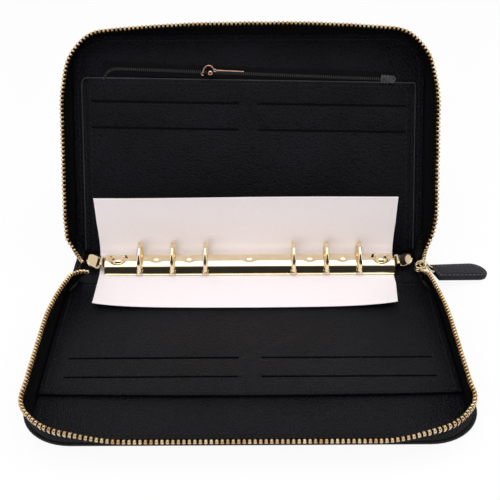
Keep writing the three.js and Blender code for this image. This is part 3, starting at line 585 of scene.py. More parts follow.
# Geometry Nodes tree that puts one small shape at each point of a path
def spreadTree():
    tree = bpy.data.node_groups.new("spreadAlong", "GeometryNodeTree")
    face = tree.interface
    face.new_socket(name="Path", in_out="INPUT", socket_type="NodeSocketGeometry")
    for label, kind in (("Shape", "NodeSocketObject"), ("Size", "NodeSocketVector"),
                        ("Uneven", "NodeSocketFloat"), ("Seed", "NodeSocketInt"),
                        ("Finish", "NodeSocketMaterial")):
        face.new_socket(name=label, in_out="INPUT", socket_type=kind)
    face.new_socket(name="Pieces", in_out="OUTPUT", socket_type="NodeSocketGeometry")
    link = tree.links.new
    start = addNode(tree, "NodeGroupInput", (-900, 0))
    end = addNode(tree, "NodeGroupOutput", (900, 0))
    shape = addNode(tree, "GeometryNodeObjectInfo", (-600, -200))
    link(start.outputs["Shape"], shape.inputs["Object"])
    turns = []
    for index, label in enumerate(("along", "up")):
        read = addNode(tree, "GeometryNodeInputNamedAttribute", (-700, -420 - 160 * index),
                       data_type="FLOAT_VECTOR")
        read.inputs["Name"].default_value = label
        turns.append(read.outputs["Attribute"])
    rise = addNode(tree, "FunctionNodeAlignRotationToVector", (-440, -560), axis="Z")
    link(turns[1], rise.inputs["Vector"])
    facing = addNode(tree, "FunctionNodeAlignRotationToVector", (-240, -460), axis="X",
                     pivot_axis="Z")
    link(rise.outputs[0], facing.inputs["Rotation"])
    link(turns[0], facing.inputs["Vector"])
    wobble = addNode(tree, "FunctionNodeRandomValue", (-440, 260), data_type="FLOAT_VECTOR")
    most = addNode(tree, "ShaderNodeVectorMath", (-620, 300), operation="SCALE")
    most.inputs[0].default_value = (0, 0, 1)
    link(start.outputs["Uneven"], most.inputs["Scale"])
    least = addNode(tree, "ShaderNodeVectorMath", (-620, 160), operation="SCALE")
    least.inputs[0].default_value = (0, 0, -1)
    link(start.outputs["Uneven"], least.inputs["Scale"])
    link(most.outputs[0], wobble.inputs["Max"])
    link(least.outputs[0], wobble.inputs["Min"])
    link(start.outputs["Seed"], wobble.inputs["Seed"])
    place = addNode(tree, "GeometryNodeInstanceOnPoints", (0, 0))
    link(start.outputs["Path"], place.inputs["Points"])
    link(shape.outputs["Geometry"], place.inputs["Instance"])
    link(facing.outputs[0], place.inputs["Rotation"])
    link(start.outputs["Size"], place.inputs["Scale"])
    tilt = addNode(tree, "GeometryNodeRotateInstances", (220, 0))
    link(place.outputs[0], tilt.inputs["Instances"])
    link(wobble.outputs[0], tilt.inputs["Rotation"])
    real = addNode(tree, "GeometryNodeRealizeInstances", (440, 0))
    link(tilt.outputs[0], real.inputs[0])
    finish = addNode(tree, "GeometryNodeSetMaterial", (640, 0))
    link(real.outputs[0], finish.inputs["Geometry"])
    link(start.outputs["Finish"], finish.inputs["Material"])
    link(finish.outputs[0], end.inputs["Pieces"])
    return tree


spreadAlong = spreadTree()


def spread(name, places, shape, size, material, uneven=0.0, seed=1):
    # places: (point, along, up) in millimetres
    mesh = bpy.data.meshes.new(name)
    mesh.from_pydata([tuple(p * mm) for p, _, _ in places], [], [])
    for label, index in (("along", 1), ("up", 2)):
        attribute = mesh.attributes.new(label, "FLOAT_VECTOR", "POINT")
        attribute.data.foreach_set("vector", [c for place in places for c in place[index]])
    piece = bpy.data.objects.new(name, mesh)
    bpy.context.scene.collection.objects.link(piece)
    modifier = piece.modifiers.new("spread", "NODES")
    modifier.node_group = spreadAlong
    sockets = {s.name: s.identifier for s in spreadAlong.interface.items_tree
               if s.in_out == "INPUT"}
    modifier[sockets["Shape"]] = shape
    modifier[sockets["Size"]] = size
    modifier[sockets["Uneven"]] = uneven
    modifier[sockets["Seed"]] = seed
    modifier[sockets["Finish"]] = material
    settle(piece)
    for label in ("along", "up"):
        if label in piece.data.attributes:
            piece.data.attributes.remove(piece.data.attributes[label])
    return dressed(smooth(piece, 50), material)


def walk(points, pitch, start=0.0, stop=None):
    # even steps along a polyline: (point, direction)
    lengths = [0.0]
    for a, b in zip(points, points[1:]):
        lengths.append(lengths[-1] + (b - a).length)
    total = lengths[-1] if stop is None else min(stop, lengths[-1])
    count = max(1, round((total - start) / pitch))
    steps = []
    k = 0
    for i in range(count + 1):
        s = start + (total - start) * i / count
        while k < len(points) - 2 and lengths[k + 1] < s:
            k += 1
        part = (s - lengths[k]) / max(1e-9, lengths[k + 1] - lengths[k])
        steps.append((points[k].lerp(points[k + 1], part), (points[k + 1] - points[k]).normalized()))
    return steps


def stitchShape():
    # one sewn stitch, a millimetre long
    rings = []
    for x, r in ((-0.5, 0.45), (-0.42, 0.8), (0.0, 1.0), (0.42, 0.8), (0.5, 0.45)):
        rings.append([Vector((x, 0.5 * r * math.cos(a), 0.5 * r * math.sin(a) * 0.8))
                      for a in [i * math.tau / 6 for i in range(6)]])
    return smooth(swept("stitchShape", rings), 70)


def toothShape(user):
    # cast tooth: a round head, hollow on both faces, on two short legs clamped on the tape
    profile = [(0.0, 0.78), (0.42, 1.02), (0.92, 0.74), (1.12, 0.0), (0.92, -0.74), (0.42, -1.02),
               (0.0, -0.78)]
    around = 8
    vertices, faces = [], []
    for r, y in profile:
        for k in range(around if r else 1):
            a = math.tau * k / around
            vertices.append((r * math.cos(a) * user["toothHalf"] / 1.12, y,
                             user["headHeight"] + r * math.sin(a)))
    last = len(vertices) - 1
    for k in range(around):
        m = (k + 1) % around
        faces.append((0, 1 + k, 1 + m))
        for i in range(len(profile) - 3):
            first = 1 + i * around
            faces.append((first + k, first + k + around, first + m + around, first + m))
        faces.append((last, last - around + m, last - around + k))
    for side in (-1, 1):
        base = len(vertices)
        for z, wide, near, far in ((user["headHeight"] - 0.5, 0.62, 0.2, 1.05), (-1.3, 0.42, 0.4, 0.95)):
            vertices += [(-wide, side * near, z), (wide, side * near, z), (wide, side * far, z),
                         (-wide, side * far, z)]
        faces.append(tuple(base + 4 + k for k in range(4)))
        for k in range(4):
            m = (k + 1) % 4
            faces.append((base + k, base + m, base + m + 4, base + k + 4))
        faces.append(tuple(base + k for k in range(4)))
    return smooth(newPiece("toothShape", vertices, faces), 50)


# Edge zip: woven tape with metal teeth round each cover, run into the spine's ends
edgeZip = {
    "tapeWidth": 13.4, "tapeThickness": 0.9, "foot": 3.9, "start": 10, "bulge": 0.7,
    "pitch": 2.44, "toothHalf": 0.92, "headHeight": 1.6, "cord": 0.78, "footRun": -0.07,
    "beyond": 1.3, "step": 3, "firstTooth": 1.0, "lastTooth": {"front": 1.0, "rear": 2.0},
    # two distances from the fold, in front nearer to it, clear of the link; they are turned into points that
    # nothing uses
    "bend": {"front": (11, -1), "rear": (9, -4)},
    # lean of the tape on the left half and on the right half
    "frontSplay": {
        -1: {"fold": -4.4, "side": 1.5, "corner": 4.2, "middle": 10.2, "foldRun": 48, "reach": 0.45,
             "ease": 2},
        1: {"fold": -4.4, "side": -0.6, "corner": 2.4, "middle": 10.2, "foldRun": 48, "reach": 0.42,
            "ease": 2}},
    "rearSplay": {
        -1: {"fold": 2, "side": 3.1, "corner": -1.4, "middle": 3.5, "foldRun": 16, "reach": 0.9, "ease": 22},
        1: {"fold": 2, "side": 4.7, "corner": -0.6, "middle": 3.5, "foldRun": 16, "reach": 0.8, "ease": 22}},
    # foot and tape top from the cover's edge into the spine, left end and right end
    "frontEnds": {
        -1: [((-104.2, -22.0, 4.0), (-98.6, -23.0, 15.9)), ((-101.5, -17.0, 4.8), (-95.6, -19.0, 14.6)),
             ((-98.8, -12.5, 6.2), (-92.6, -15.5, 12.4))],
        1: [((104.2, -22.0, 4.0), (99.2, -23.0, 15.6)), ((102.0, -17.0, 4.8), (98.6, -18.0, 13.0)),
            ((99.6, -11.5, 6.2), (98.4, -12.0, 10.6))]},
    "rearEnds": {
        -1: [((-104.5, 18.6, 7.6), (-104.6, 9.4, 15.6)), ((-103.0, 15.5, 5.2), (-102.0, 7.6, 11.4)),
             ((-99.6, 9.0, 5.9), (-98.6, 3.0, 9.2)), ((-98.6, 4.0, 6.1), (-96.8, -1.0, 8.8))],
        1: [((104.5, 18.6, 7.6), (105.2, 9.4, 15.6)), ((103.4, 15.0, 5.2), (103.4, 7.2, 11.2)),
            ((101.0, 8.0, 5.9), (101.4, 2.2, 9.4)), ((99.8, 3.5, 6.1), (99.6, -2.5, 9.8))]},
}


def edgeLine(halfLength, start, depth, corner, step):
    sideRun = depth - corner - start
    turn = corner * math.pi / 2
    total = 2 * sideRun + 2 * turn + 2 * (halfLength - corner)
    count = 2 * round(total / step / 2)
    line = []
    for i in range(count + 1):
        s = total * i / count
        back = min(s, total - s)
        side = -1 if s * 2 < total else 1
        if back <= sideRun:
            x, y, nx, ny = halfLength, start + back, 1.0, 0.0
        elif back <= sideRun + turn:
            a = (back - sideRun) / corner
            x = halfLength - corner + corner * math.cos(a)
            y = depth - corner + corner * math.sin(a)
            nx, ny = math.cos(a), math.sin(a)
        else:
            x, y, nx, ny = halfLength - corner - (back - sideRun - turn), depth, 0.0, 1.0
        line.append((side * x, y, side * nx, ny, back))
    return line, sideRun, turn, total


def splayAt(back, sideRun, turn, total, splay):
    def swell(t):
        return math.sin(min(1.0, max(0.0, t)) * math.pi / 2)
    cornerMiddle = sideRun + turn / 2
    easeStart = sideRun - splay["ease"]
    if back < easeStart:
        return splay["fold"] + (splay["side"] - splay["fold"]) * swell(back / splay["foldRun"])
    if back < cornerMiddle:
        t = (back - easeStart) / (cornerMiddle - easeStart)
        return splay["side"] + (splay["corner"] - splay["side"]) * (1 - math.cos(t * math.pi)) / 2
    t = (back - cornerMiddle) / (total / 2 - cornerMiddle) / splay["reach"]
    return splay["corner"] + (splay["middle"] - splay["corner"]) * swell(t)


def easedPairs(pairs, steps):
    # smooth curve through pairs of points
    smoothPairs = []
    for i in range(len(pairs) - 1):
        p0, p1 = pairs[max(0, i - 1)], pairs[i]
        p2, p3 = pairs[i + 1], pairs[min(len(pairs) - 1, i + 2)]
        for k in range(steps):
            t = k / steps
            smoothPairs.append(tuple(
                0.5 * ((2 * p1[j]) + (p2[j] - p0[j]) * t + (2 * p0[j] - 5 * p1[j] + 4 * p2[j] - p3[j])
                       * t * t + (3 * p1[j] - p0[j] - 3 * p2[j] + p3[j]) * t ** 3) for j in (0, 1)))
    smoothPairs.append(pairs[-1])
    return smoothPairs


def easedLine(points, steps):
    return [p for p, _ in easedPairs([(Vector(p), Vector()) for p in points], steps)]


def edgePairs(user, splay, ends, place):
    # (foot, top) all the way round, from the left end in the spine to the right end
    halfLength, depth, corner = (
        body[k] + user["beyond"] for k in ("panelHalf", "panelDepth", "panelCorner"))
    line, sideRun, turn, total = edgeLine(halfLength, user["start"], depth, corner, user["step"])
    main = []
    for x, y, nx, ny, back in line:
        lean = splayAt(back, sideRun, turn, total, splay[-1 if x < 0 else 1])
        rise = math.sqrt(user["tapeWidth"] ** 2 - lean ** 2)
        main.append((place(x, y, user["foot"]),
                     place(x + nx * lean, y + ny * lean, user["foot"] + rise)))
    left = [(Vector(a), Vector(b)) for a, b in reversed(ends[-1])]
    right = [(Vector(a), Vector(b)) for a, b in ends[1]]
    head = easedPairs(left + main[:2], 5)
    tail = easedPairs(main[-2:] + right, 5)
    return head[:-1] + main[1:-1] + tail[1:]


def tapePiece(name, pairs, user, outward):
    # woven strip that ends in a round cord between the teeth
    half = user["tapeThickness"] / 2
    cord = user["cord"]
    # the foot runs down into the seam
    section = [(user["footRun"], half)] + [(t / 6, half) for t in range(1, 6)]
    section += [(0.965, half), (0.985, 0.8 * cord), (1.02, cord), (1.07, 0.92 * cord), (1.11, 0.45 * cord)]
    rows, lengths = [], [0.0]
    for i, (foot, top) in enumerate(pairs):
        ahead = pairs[min(len(pairs) - 1, i + 1)][0] - pairs[max(0, i - 1)][0]
        out = (top - foot).cross(ahead).normalized() * outward
        if i:
            lengths.append(lengths[-1] + (foot - pairs[i - 1][0]).length)
        ring = []
        for side in (1, -1):
            for t, thick in (section if side > 0 else reversed(section)):
                lift = user["bulge"] * math.sin(math.pi * min(1.0, t))
                point = foot.lerp(top, t) + out * (lift + side * thick)
                ring.append((point, lengths[-1], t * (top - foot).length))
        rows.append(ring)
    piece = swept(name, [[p for p, _, _ in ring] for ring in rows])
    layer = piece.data.uv_layers.new(name="UVMap")
    flat = [(u, v) for ring in rows for _, u, v in ring]
    for loop in piece.data.loops:
        u, v = flat[loop.vertex_index]
        layer.data[loop.index].uv = (u * mm, v * mm)
    return smooth(piece, 60)


def toothPlaces(pairs, user, first, last):
    # teeth stand on the tape's free edge
    tops = [top for _, top in pairs]
    along = walk(tops, user["pitch"], first, sum(
        (b - a).length for a, b in zip(tops, tops[1:])) - last)
    places = []
    for point, ahead in along:
        nearest = min(range(len(pairs)), key=lambda i: (pairs[i][1] - point).length)
        up = (pairs[nearest][1] - pairs[nearest][0]).normalized()
        up = (up - ahead * up.dot(ahead)).normalized()
        places.append((point, ahead, up))
    return places


tooth = toothShape(edgeZip)
for side, place in (("front", onFront), ("rear", onRear)):
    pairs = edgePairs(edgeZip, edgeZip[side + "Splay"], edgeZip[side + "Ends"], place)
    outward = -1 if side == "front" else 1
    tape = dressed(tapePiece(side + "EdgeTape", pairs, edgeZip, outward), tapeCloth)
    stands = toothPlaces(pairs, edgeZip, edgeZip["firstTooth"], edgeZip["lastTooth"][side])
    teeth = spread(side + "EdgeTeeth", stands, tooth, (1, 1, 1), toothBrass)
    begin, finish = (place(0, v, body["hingeHeight"]) * mm for v in edgeZip["bend"][side])
    for piece, node in ((tape, "_zip_tape"), (teeth, "_zip_teeth")):
        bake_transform(piece)
        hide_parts(side + node)
print("edge zips ready")

# Outer leather: the CAD trays with turned edges, and a bending strip at each fold
outer = {"turn": 0.7, "under": 2.3, "stripHalf": 6, "rim": 5.3, "rimHeight": 3.2, "skin": 1.1}


def stripRing(place, reach, user):
    w, h, b, skin, low = (user[k] for k in ("rim", "rimHeight", "turn", "skin", "under"))
    corner = [(0.0, b), (0.12 * b, 0.5 * b), (0.5 * b, 0.12 * b), (b, 0.0)]
    half = []
    for i in range(7):
        a = math.pi / 2 * i / 6
        half.append((reach - low + low * math.sin(a), low - low * math.cos(a)))
    half += [(reach - x, h - n) for x, n in corner]
    half += [(reach - w + x, h - n) for x, n in reversed(corner)]
    half += [(reach - w, skin)]
    ring = half + [(-x, n) for x, n in reversed(half)]
    return [place(x, n) for x, n in ring]


def roundUnder(piece, away, radius, lowest=0.05):
    # rolls the outer edge of a tray; away gives a point's height above its outer face
    work = bmesh.new()
    work.from_mesh(piece.data)
    edges = []
    for edge in work.edges:
        if all(away(v.co / mm) < lowest for v in edge.verts) and len(edge.link_faces) == 2:
            if edge.calc_face_angle(0) > 0.6:
                edges.append(edge)
    bmesh.ops.bevel(work, geom=edges, offset=radius * mm, segments=6, profile=0.5, affect="EDGES",
                    clamp_overlap=True)
    work.to_mesh(piece.data)
    work.free()
    return piece


def trayCopy(node, name, away, user):
    work = copyOfNode(node, name, 0)
    roundUnder(work, away, user["under"])
    return smooth(bevelled(work, user["turn"], 3))


def heightAbove(side):
    # distance from the outer face of a cover or the spine
    if side == "rear":
        c, s = math.cos(body["rearLean"]), math.sin(body["rearLean"])
        return lambda p: (body["hingeHeight"] - (p.y - body["foldY"]) * s
                          + (p.z - body["hingeHeight"]) * c)
    return lambda p: p.z


def foldStrip(side, user):
    rings = []
    reach, half = body["spineReach"], user["stripHalf"]
    sign = -1 if side == "front" else 1
    grow = body["foldTaper"] / body["foldTaperDepth"]
    for i in range(7):
        y = sign * (body["foldY"] - half * (1 - i / 6))
        rings.append(stripRing(lambda x, n, y=y: Vector((x, y, n)), reach, user))
    if side == "rear":
        # the bend itself, round the hinge's line
        high = body["hingeHeight"]
        for i in range(1, 12):
            a = body["rearLean"] * i / 12
            rings.append(stripRing(
                lambda x, n, a=a: Vector((x, body["foldY"] - (n - high) * math.sin(a),
                                          high + (n - high) * math.cos(a))), reach, user))
    place = onFront if side == "front" else onRear
    for i in range(0 if side == "rear" else 1, 7):
        v = half * i / 6
        rings.append(stripRing(
            lambda x, n, v=v: place(x, v, n), reach + grow * v, user))
    strip = smooth(swept(side + "FoldStrip", rings), 50)
    dressed(strip, outerLeather)
    place(0, 5, 0) * mm
    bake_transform(strip)
    return strip


for side, place, turn in (("front", onFront, frontTurn), ("rear", onRear, rearTurn)):
    shell = trayCopy(side + "_cover_shell", side + "Outer", heightAbove(side), outer)
    cutAway(shell, place(0, outer["stripHalf"], 0), turn((0, -1, 0)))
    dressed(smooth(shell), outerLeather)
    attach(shell, side + "_cover")
    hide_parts(side + "_cover_shell")
    foldStrip(side, outer)
spineOuter = trayCopy("spine_shell", "spineOuter", heightAbove("spine"), outer)
for sign in (-1, 1):
    cutAway(spineOuter, (0, sign * (body["foldY"] - outer["stripHalf"]), 0), (0, sign, 0))
dressed(smooth(spineOuter), outerLeather)
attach(spineOuter, "spine")
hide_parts("spine_shell")
print("outer leather ready")

# Inner leather and pockets
inner = {"stitchPitch": 3.1, "stitchLength": 2.3, "stitchThick": 0.55,
         "lipHigh": 99.4, "lipBow": 1.6, "lipSeam": 2.2, "onPanel": 5.95, "onLining": 4.05,
         "seamReach": 100.4, "seamHigh": 125.4, "seamCorner": 17}
innerPieces = [
    ("spine_lining", "spineInner", "spine", 0.2),
    ("front_cover_lining", "frontInner", "front_cover", 0.25),
    ("rear_cover_lining", "rearInner", "rear_cover", 0.25),
    ("front_pocket_panel", "frontPocket", "front_cover", 0.3),
    ("rear_pocket_panel", "rearPocket", "rear_cover", 0.3),
]
for node, name, carrier, turnWidth in innerPieces:
    piece = dressed(copyOfNode(node, name, turnWidth), innerLeather)
    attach(piece, carrier)
    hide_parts(node)


# Turned strips beside the rear pocket and a thin piping round its edge, coloured lighter than the leather as
# a painted highlight
binding = {"near": 96.05, "far": 98.3, "low": 2.0, "face": 5.85, "base": 4.1, "leftHigh": 102.6,
           "rightHigh": 99.2, "pipe": 0.42, "pipeReach": 98.05, "pipeHeight": 5.75, "corner": 3.6,
           "shoulder": (97.1, 97.8, 98.2),
           "tilt": math.radians(1.2), "high": 102}


def bindingPiece(sign, name, user):
    top, base = user["face"], user["base"]
    high = user["leftHigh"] if sign < 0 else user["rightHigh"]
    high0, high1, high2 = user["shoulder"]
    section = [(user["near"], base), (user["near"], top), (high0, top + 0.05), (high1, top - 0.2),
               (high2, top - 0.8), (user["far"], base)]
    rows = []
    for v, drop in ((user["low"], 0.5), (user["low"] + 0.4, 0.0), (high - 0.8, 0.0), (high, 0.6)):
        rows.append([onRear(sign * x, v, n - (drop if n > base else 0)) for x, n in section])
    return dressed(smooth(swept(name, rows)), innerLeather)


def pocketTop(x):
    return binding["high"] - x * math.tan(binding["tilt"])


def pipingPath(user):
    reach, corner = user["pipeReach"], user["corner"]
    high = pocketTop(-reach)
    path = [(-reach, user["low"] + (high - corner - user["low"]) * i / 20) for i in range(21)]
    for i in range(1, 9):
        a = math.pi - math.pi / 2 * i / 8
        path.append((-reach + corner + corner * math.cos(a), high - corner + corner * math.sin(a)))
    steps = 30
    path += [(x, pocketTop(x)) for x in
             [-reach + corner + (2 * reach - corner - 1.2) * i / steps for i in range(1, steps + 1)]]
    turned = [(reach - 0.35, pocketTop(reach) - 0.3), (reach, pocketTop(reach) - 1.2)]
    low = user["low"]
    return path + turned + [(reach, turned[1][1] + (low - turned[1][1]) * i / 20) for i in range(1, 21)]


for sign, word in ((-1, "left"), (1, "right")):
    strip = bindingPiece(sign, word + "Binding", binding)
    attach(strip, "rear_cover")
    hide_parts("rear_pocket_binding_" + word)
piping = tube("pocketPiping", [onRear(x, v, binding["pipeHeight"]) for x, v in pipingPath(binding)],
              lambda t: binding["pipe"] * (1 + 0.12 * math.sin(t * 410)), 8,
              upright=rearUp)
# the piping's lighter colour is a painted highlight
dressed(piping, edgeHighlight)
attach(piping, "rear_cover")


def assign(material, *names):
    for name in names:
        nodes[name].data.materials.clear()
        nodes[name].data.materials.append(material)


assign(greyBoard, "spine_board", "front_cover_board", "rear_cover_board")
assign(pocketCloth, "front_pocket_lining", "rear_pocket_lining", "pocket_zip_tape")
assign(mirrorGold, "front_blade", "rear_blade")

stitch = stitchShape()


def stitches(name, carrier, place, turn, paths, user, height, seed):
    places = []
    for path in paths:
        line = [place(x, v, height) for x, v in path]
        for point, ahead in walk(line, user["stitchPitch"]):
            places.append((point, ahead, turn((0, 0, 1))))
    size = (user["stitchLength"], user["stitchThick"], user["stitchThick"])
    piece = spread(name, places, stitch, size, blackThread, uneven=0.06, seed=seed)
    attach(piece, carrier)
    return piece


def roundedPath(half, low, high, corner, steps=6):
    # up one side, round two corners and down the other
    points = [(-half, low), (-half, high - corner)]
    for i in range(1, steps + 1):
        a = math.pi - math.pi / 2 * i / steps
        points.append((-half + corner + corner * math.cos(a), high - corner + corner * math.sin(a)))
    for i in range(steps + 1):
        a = math.pi / 2 - math.pi / 2 * i / steps
        points.append((half - corner + corner * math.cos(a), high - corner + corner * math.sin(a)))
    points.append((half, low))
    return points


def frontMouth(x):
    # lip of the slip pocket, a little bowed
    return inner["lipHigh"] - inner["lipBow"] * (x / body["panelHalf"]) ** 2


lip = [(x, frontMouth(x) - inner["lipSeam"]) for x in [-99 + 11 * i for i in range(19)]]
wide, high, round_ = (inner[k] for k in ("seamReach", "seamHigh", "seamCorner"))
stitches("frontPocketStitches", "front_cover", onFront, frontTurn,
         [lip, [(-wide, 12), (-wide, 95)], [(wide, 12), (wide, 95)], [(-95, 3), (95, 3)]],
         inner, inner["onPanel"], seed=2)
stitches("frontInnerStitches", "front_cover", onFront, frontTurn,
         [roundedPath(wide, 101.5, high, round_)], inner, inner["onLining"], seed=3)
stitches("rearInnerStitches", "rear_cover", onRear, rearTurn,
         [roundedPath(wide, 12, high, round_)], inner, inner["onLining"], seed=4)
stitches("rearPocketStitches", "rear_cover", onRear, rearTurn,
         [[(-93.2, 3), (-93.2, 98.8), (-90.5, 101.2), (90.5, 97.6), (93.2, 94.6), (93.2, 3)]],
         inner, inner["onPanel"], seed=5)
print("inner leather ready")

# Ring mechanism
rings = {"radius": 9.5, "height": 12.0, "wire": 1.25, "places": (-63.5, -44.5, -25.5, 25.5, 44.5, 63.5),
         "foot": 9.3, "gap": 0.12}
plate = {"half": 83.9, "archRadius": 8.88, "archCentre": 4.62, "base": 6.4, "sheet": 0.8,
         "notchHalf": 1.8, "notchTop": 9.7, "bead": 0.42, "beadWide": 1.5, "beadHigh": 0.75,
         "beadRise": 0.32, "beadGap": 0.1, "beadEnd": 0.4, "dimple": 0.6, "dimpleRadius": 2.0,
         "dimpleTurn": math.radians(-20), "dimples": (-54, -35, 0, 35, 54),
         "seatReach": 76.6, "seatRadius": 4.7, "seatHeight": 10.9, "seatWall": 1.6,
         "seatSpan": 6.6, "fineStep": 0.33, "step": 0.9}
rivets = {"reach": 76.6, "radius": 4.3, "base": 10.95, "rise": 2.4, "neck": 1.6}
levers = {"sheet": 1.0, "dish": 0.012, "dishFrom": 88, "droop": 0.06, "droopFrom": 85}


def ringPiece(side):
    # half rings of one blade, as one piece
    low = math.asin((rings["foot"] - rings["height"]) / rings["radius"])
    high = math.pi / 2 - rings["gap"] / rings["radius"]
    pieces = []
    around, steps = 14, 36
    for place in rings["places"]:
        sections = []
        for i in range(steps + 1):
            a = low + (high - low) * i / steps
            # the free end is rounded off a little
            r = rings["wire"] * (1 if i < steps else 0.82)
            section = []
            for k in range(around):
                b = math.tau * k / around
                reach = rings["radius"] + r * math.cos(b)
                section.append((place + r * math.sin(b), side * reach * math.cos(a),
                                rings["height"] + reach * math.sin(a)))
            sections.append(section)
        pieces.append(swept("ring", sections))
    name = "frontRings" if side < 0 else "rearRings"
    return dressed(smooth(joined(name, pieces), 50), mirrorGold)


for side, word in ((-1, "front"), (1, "rear")):
    piece = ringPiece(side)
    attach(piece, word + "_rings")
    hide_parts(*[f"{word}_half_ring_{i}" for i in range(1, 7)])


def plateStations(user):
    marks = {-user["half"], user["half"]}
    for place in rings["places"]:
        marks |= {place - user["notchHalf"], place + user["notchHalf"]}
    for sign in (-1, 1):
        marks |= {sign * (user["seatReach"] + out * user["seatSpan"]) for out in (-1, 1)}
    marks = sorted(marks)
    stations = []
    for a, b in zip(marks, marks[1:]):
        near = abs(abs(a + b) / 2 - user["seatReach"]) < user["seatRadius"]
        count = max(1, math.ceil((b - a) / user["fineStep" if near else "step"]))
        stations += [a + (b - a) * i / count for i in range(count)]
    return stations + [marks[-1]]


def plateSurface(x, a, user):
    r = user["archRadius"]
    turned = a - user["dimpleTurn"]
    r -= sum(user["dimple"] * math.exp(
        -((x - d) ** 2 / 2.2 + (r * turned) ** 2) / (user["dimpleRadius"] ** 2 / 2))
        for d in user["dimples"])
    y, z = r * math.sin(a), user["archCentre"] + r * math.cos(a)
    # round seat pressed in for a rivet
    far = math.hypot(abs(x) - user["seatReach"], y)
    t = min(1.0, max(0.0, (far - user["seatRadius"]) / user["seatWall"]))
    seat = min(z, user["seatHeight"])
    return x, y, seat + (z - seat) * t * t * (3 - 2 * t)


def platePiece(user):
    edge = math.acos((user["base"] + 0.05 - user["archCentre"]) / user["archRadius"])
    notch = math.acos((user["notchTop"] - user["archCentre"]) / user["archRadius"])
    angles = [-edge + (edge - notch) * i / 6 for i in range(6)]
    angles += [-notch + 2 * notch * i / 44 for i in range(45)]
    angles += [notch + (edge - notch) * i / 6 for i in range(1, 7)]
    stations = plateStations(user)
    vertices = [plateSurface(x, a, user) for x in stations for a in angles]
    count = len(angles)
    faces = []
    for i in range(len(stations) - 1):
        middle = (stations[i] + stations[i + 1]) / 2
        open_ = any(abs(middle - place) < user["notchHalf"] for place in rings["places"])
        for k in range(count - 1):
            outside = abs((angles[k] + angles[k + 1]) / 2) > notch
            if open_ and outside:
                continue
            a = i * count + k
            faces.append((a, a + 1, a + count + 1, a + count))
    piece = newPiece("ringPlate", vertices, faces, recalculate=False)
    work = bmesh.new()
    work.from_mesh(piece.data)
    lost = [v for v in work.verts if not v.link_faces]
    bmesh.ops.delete(work, geom=lost, context="VERTS")
    bmesh.ops.recalc_face_normals(work, faces=work.faces)
    top = max(work.faces, key=lambda f: f.calc_center_median().z)
    if top.normal.z < 0:
        bmesh.ops.reverse_faces(work, faces=work.faces)
    work.to_mesh(piece.data)
    work.free()
    thickened(piece, user["sheet"], -1)
    return dressed(smooth(bevelled(piece, 0.14, 2, 50), 35), mirrorGold)


def beadPieces(user):
    # rolled edge on both long sides, between the notches
    stops = [-user["half"] + user["beadEnd"]]
    for place in rings["places"]:
        stops += [place + out * (user["notchHalf"] + user["beadGap"]) for out in (-1, 1)]
    stops.append(user["half"] - user["beadEnd"])
    pieces = []
    around = 10
    reach = user["archRadius"] * math.sin(math.acos(
        (user["base"] - user["archCentre"]) / user["archRadius"]))
    for side in (-1, 1):
        for a, b in zip(stops[::2], stops[1::2]):
            pieces.append(swept("edge", [
                [(x, side * (reach + user["beadGap"]) + user["bead"] * math.cos(t) * user["beadWide"],
                  user["base"] + user["beadRise"] + user["bead"] * math.sin(t) * user["beadHigh"])
                 for t in [math.tau * k / around for k in range(around)]] for x in (a, b)]))
    return dressed(smooth(joined("plateEdges", pieces), 50), mirrorGold)


ringPlate = platePiece(plate)
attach(ringPlate, "spine")
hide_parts("ring_plate")
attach(beadPieces(plate), "spine")


def turnedPiece(name, profile, centre, sides=40):
    # lathe round an upright line
    rings_ = []
    for r, z in profile:
        rings_.append([(centre[0] + r * math.cos(math.tau * k / sides),
                        centre[1] + r * math.sin(math.tau * k / sides), z) for k in range(sides)])
    return smooth(swept(name, rings_), 50)


for sign, word in ((-1, "left"), (1, "right")):
    r, base, rise = rivets["radius"], rivets["base"], rivets["rise"]
    profile = [(rivets["neck"], 1.3), (rivets["neck"], base), (r * 0.96, base), (r, base + 0.12),
               (r, base + 0.32), (r * 0.96, base + 0.46), (r * 0.88, base + 0.5)]
    for i in range(1, 9):
        a = math.pi / 2 * i / 8
        profile.append((max(0.02, r * 0.86 * math.cos(a)), base + 0.5 + (rise - 0.5) * math.sin(a)))
    piece = turnedPiece(word + "Rivet", profile, (sign * rivets["reach"], 0))
    dressed(piece, mirrorGold)
    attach(piece, "spine")
    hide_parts(word + "_rivet")


def leverPiece(sign, word):
    # bent thumb tab: neck under the plate, a folded hoop, then a round flared end with a lip
    path = [(82.3, 7.9, 2.5), (84.6, 8.0, 2.5), (84.95, 8.6, 4.2), (85.25, 10.9, 4.8),
            (85.8, 12.3, 5.0), (86.5, 12.7, 5.0), (87.2, 11.8, 4.9), (87.6, 10.4, 5.0),
            (88.3, 9.7, 5.6), (89.5, 9.8, 6.1), (91.0, 10.5, 6.3), (92.4, 11.4, 6.0),
            (93.3, 12.2, 4.9), (93.9, 12.8, 3.6), (94.2, 13.1, 2.4)]
    across = 12
    vertices = []
    for x, z, wide in path:
        for k in range(across + 1):
            y = wide * (2 * k / across - 1)
            low = 0
            if x > levers["dishFrom"]:
                low = levers["dish"] * (wide ** 2 - y ** 2)
            elif x > levers["droopFrom"]:
                low = levers["droop"] * y * y
            vertices.append((sign * x, y, z - low))
    piece = newPiece(word + "Lever", vertices, gridFaces(len(path), across + 1))
    thickened(piece, levers["sheet"])
    bevelled(piece, 0.25, 3, 40)
    refine = piece.modifiers.new("refine", "SUBSURF")
    refine.levels = refine.render_levels = 1
    settle(piece)
    dressed(smooth(piece, 60), mirrorGold)
    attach(piece, word + "_lever")
    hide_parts(word + "_lever")
    return piece


for sign, word in ((-1, "left"), (1, "right")):
    leverPiece(sign, word)
print("ring mechanism ready")

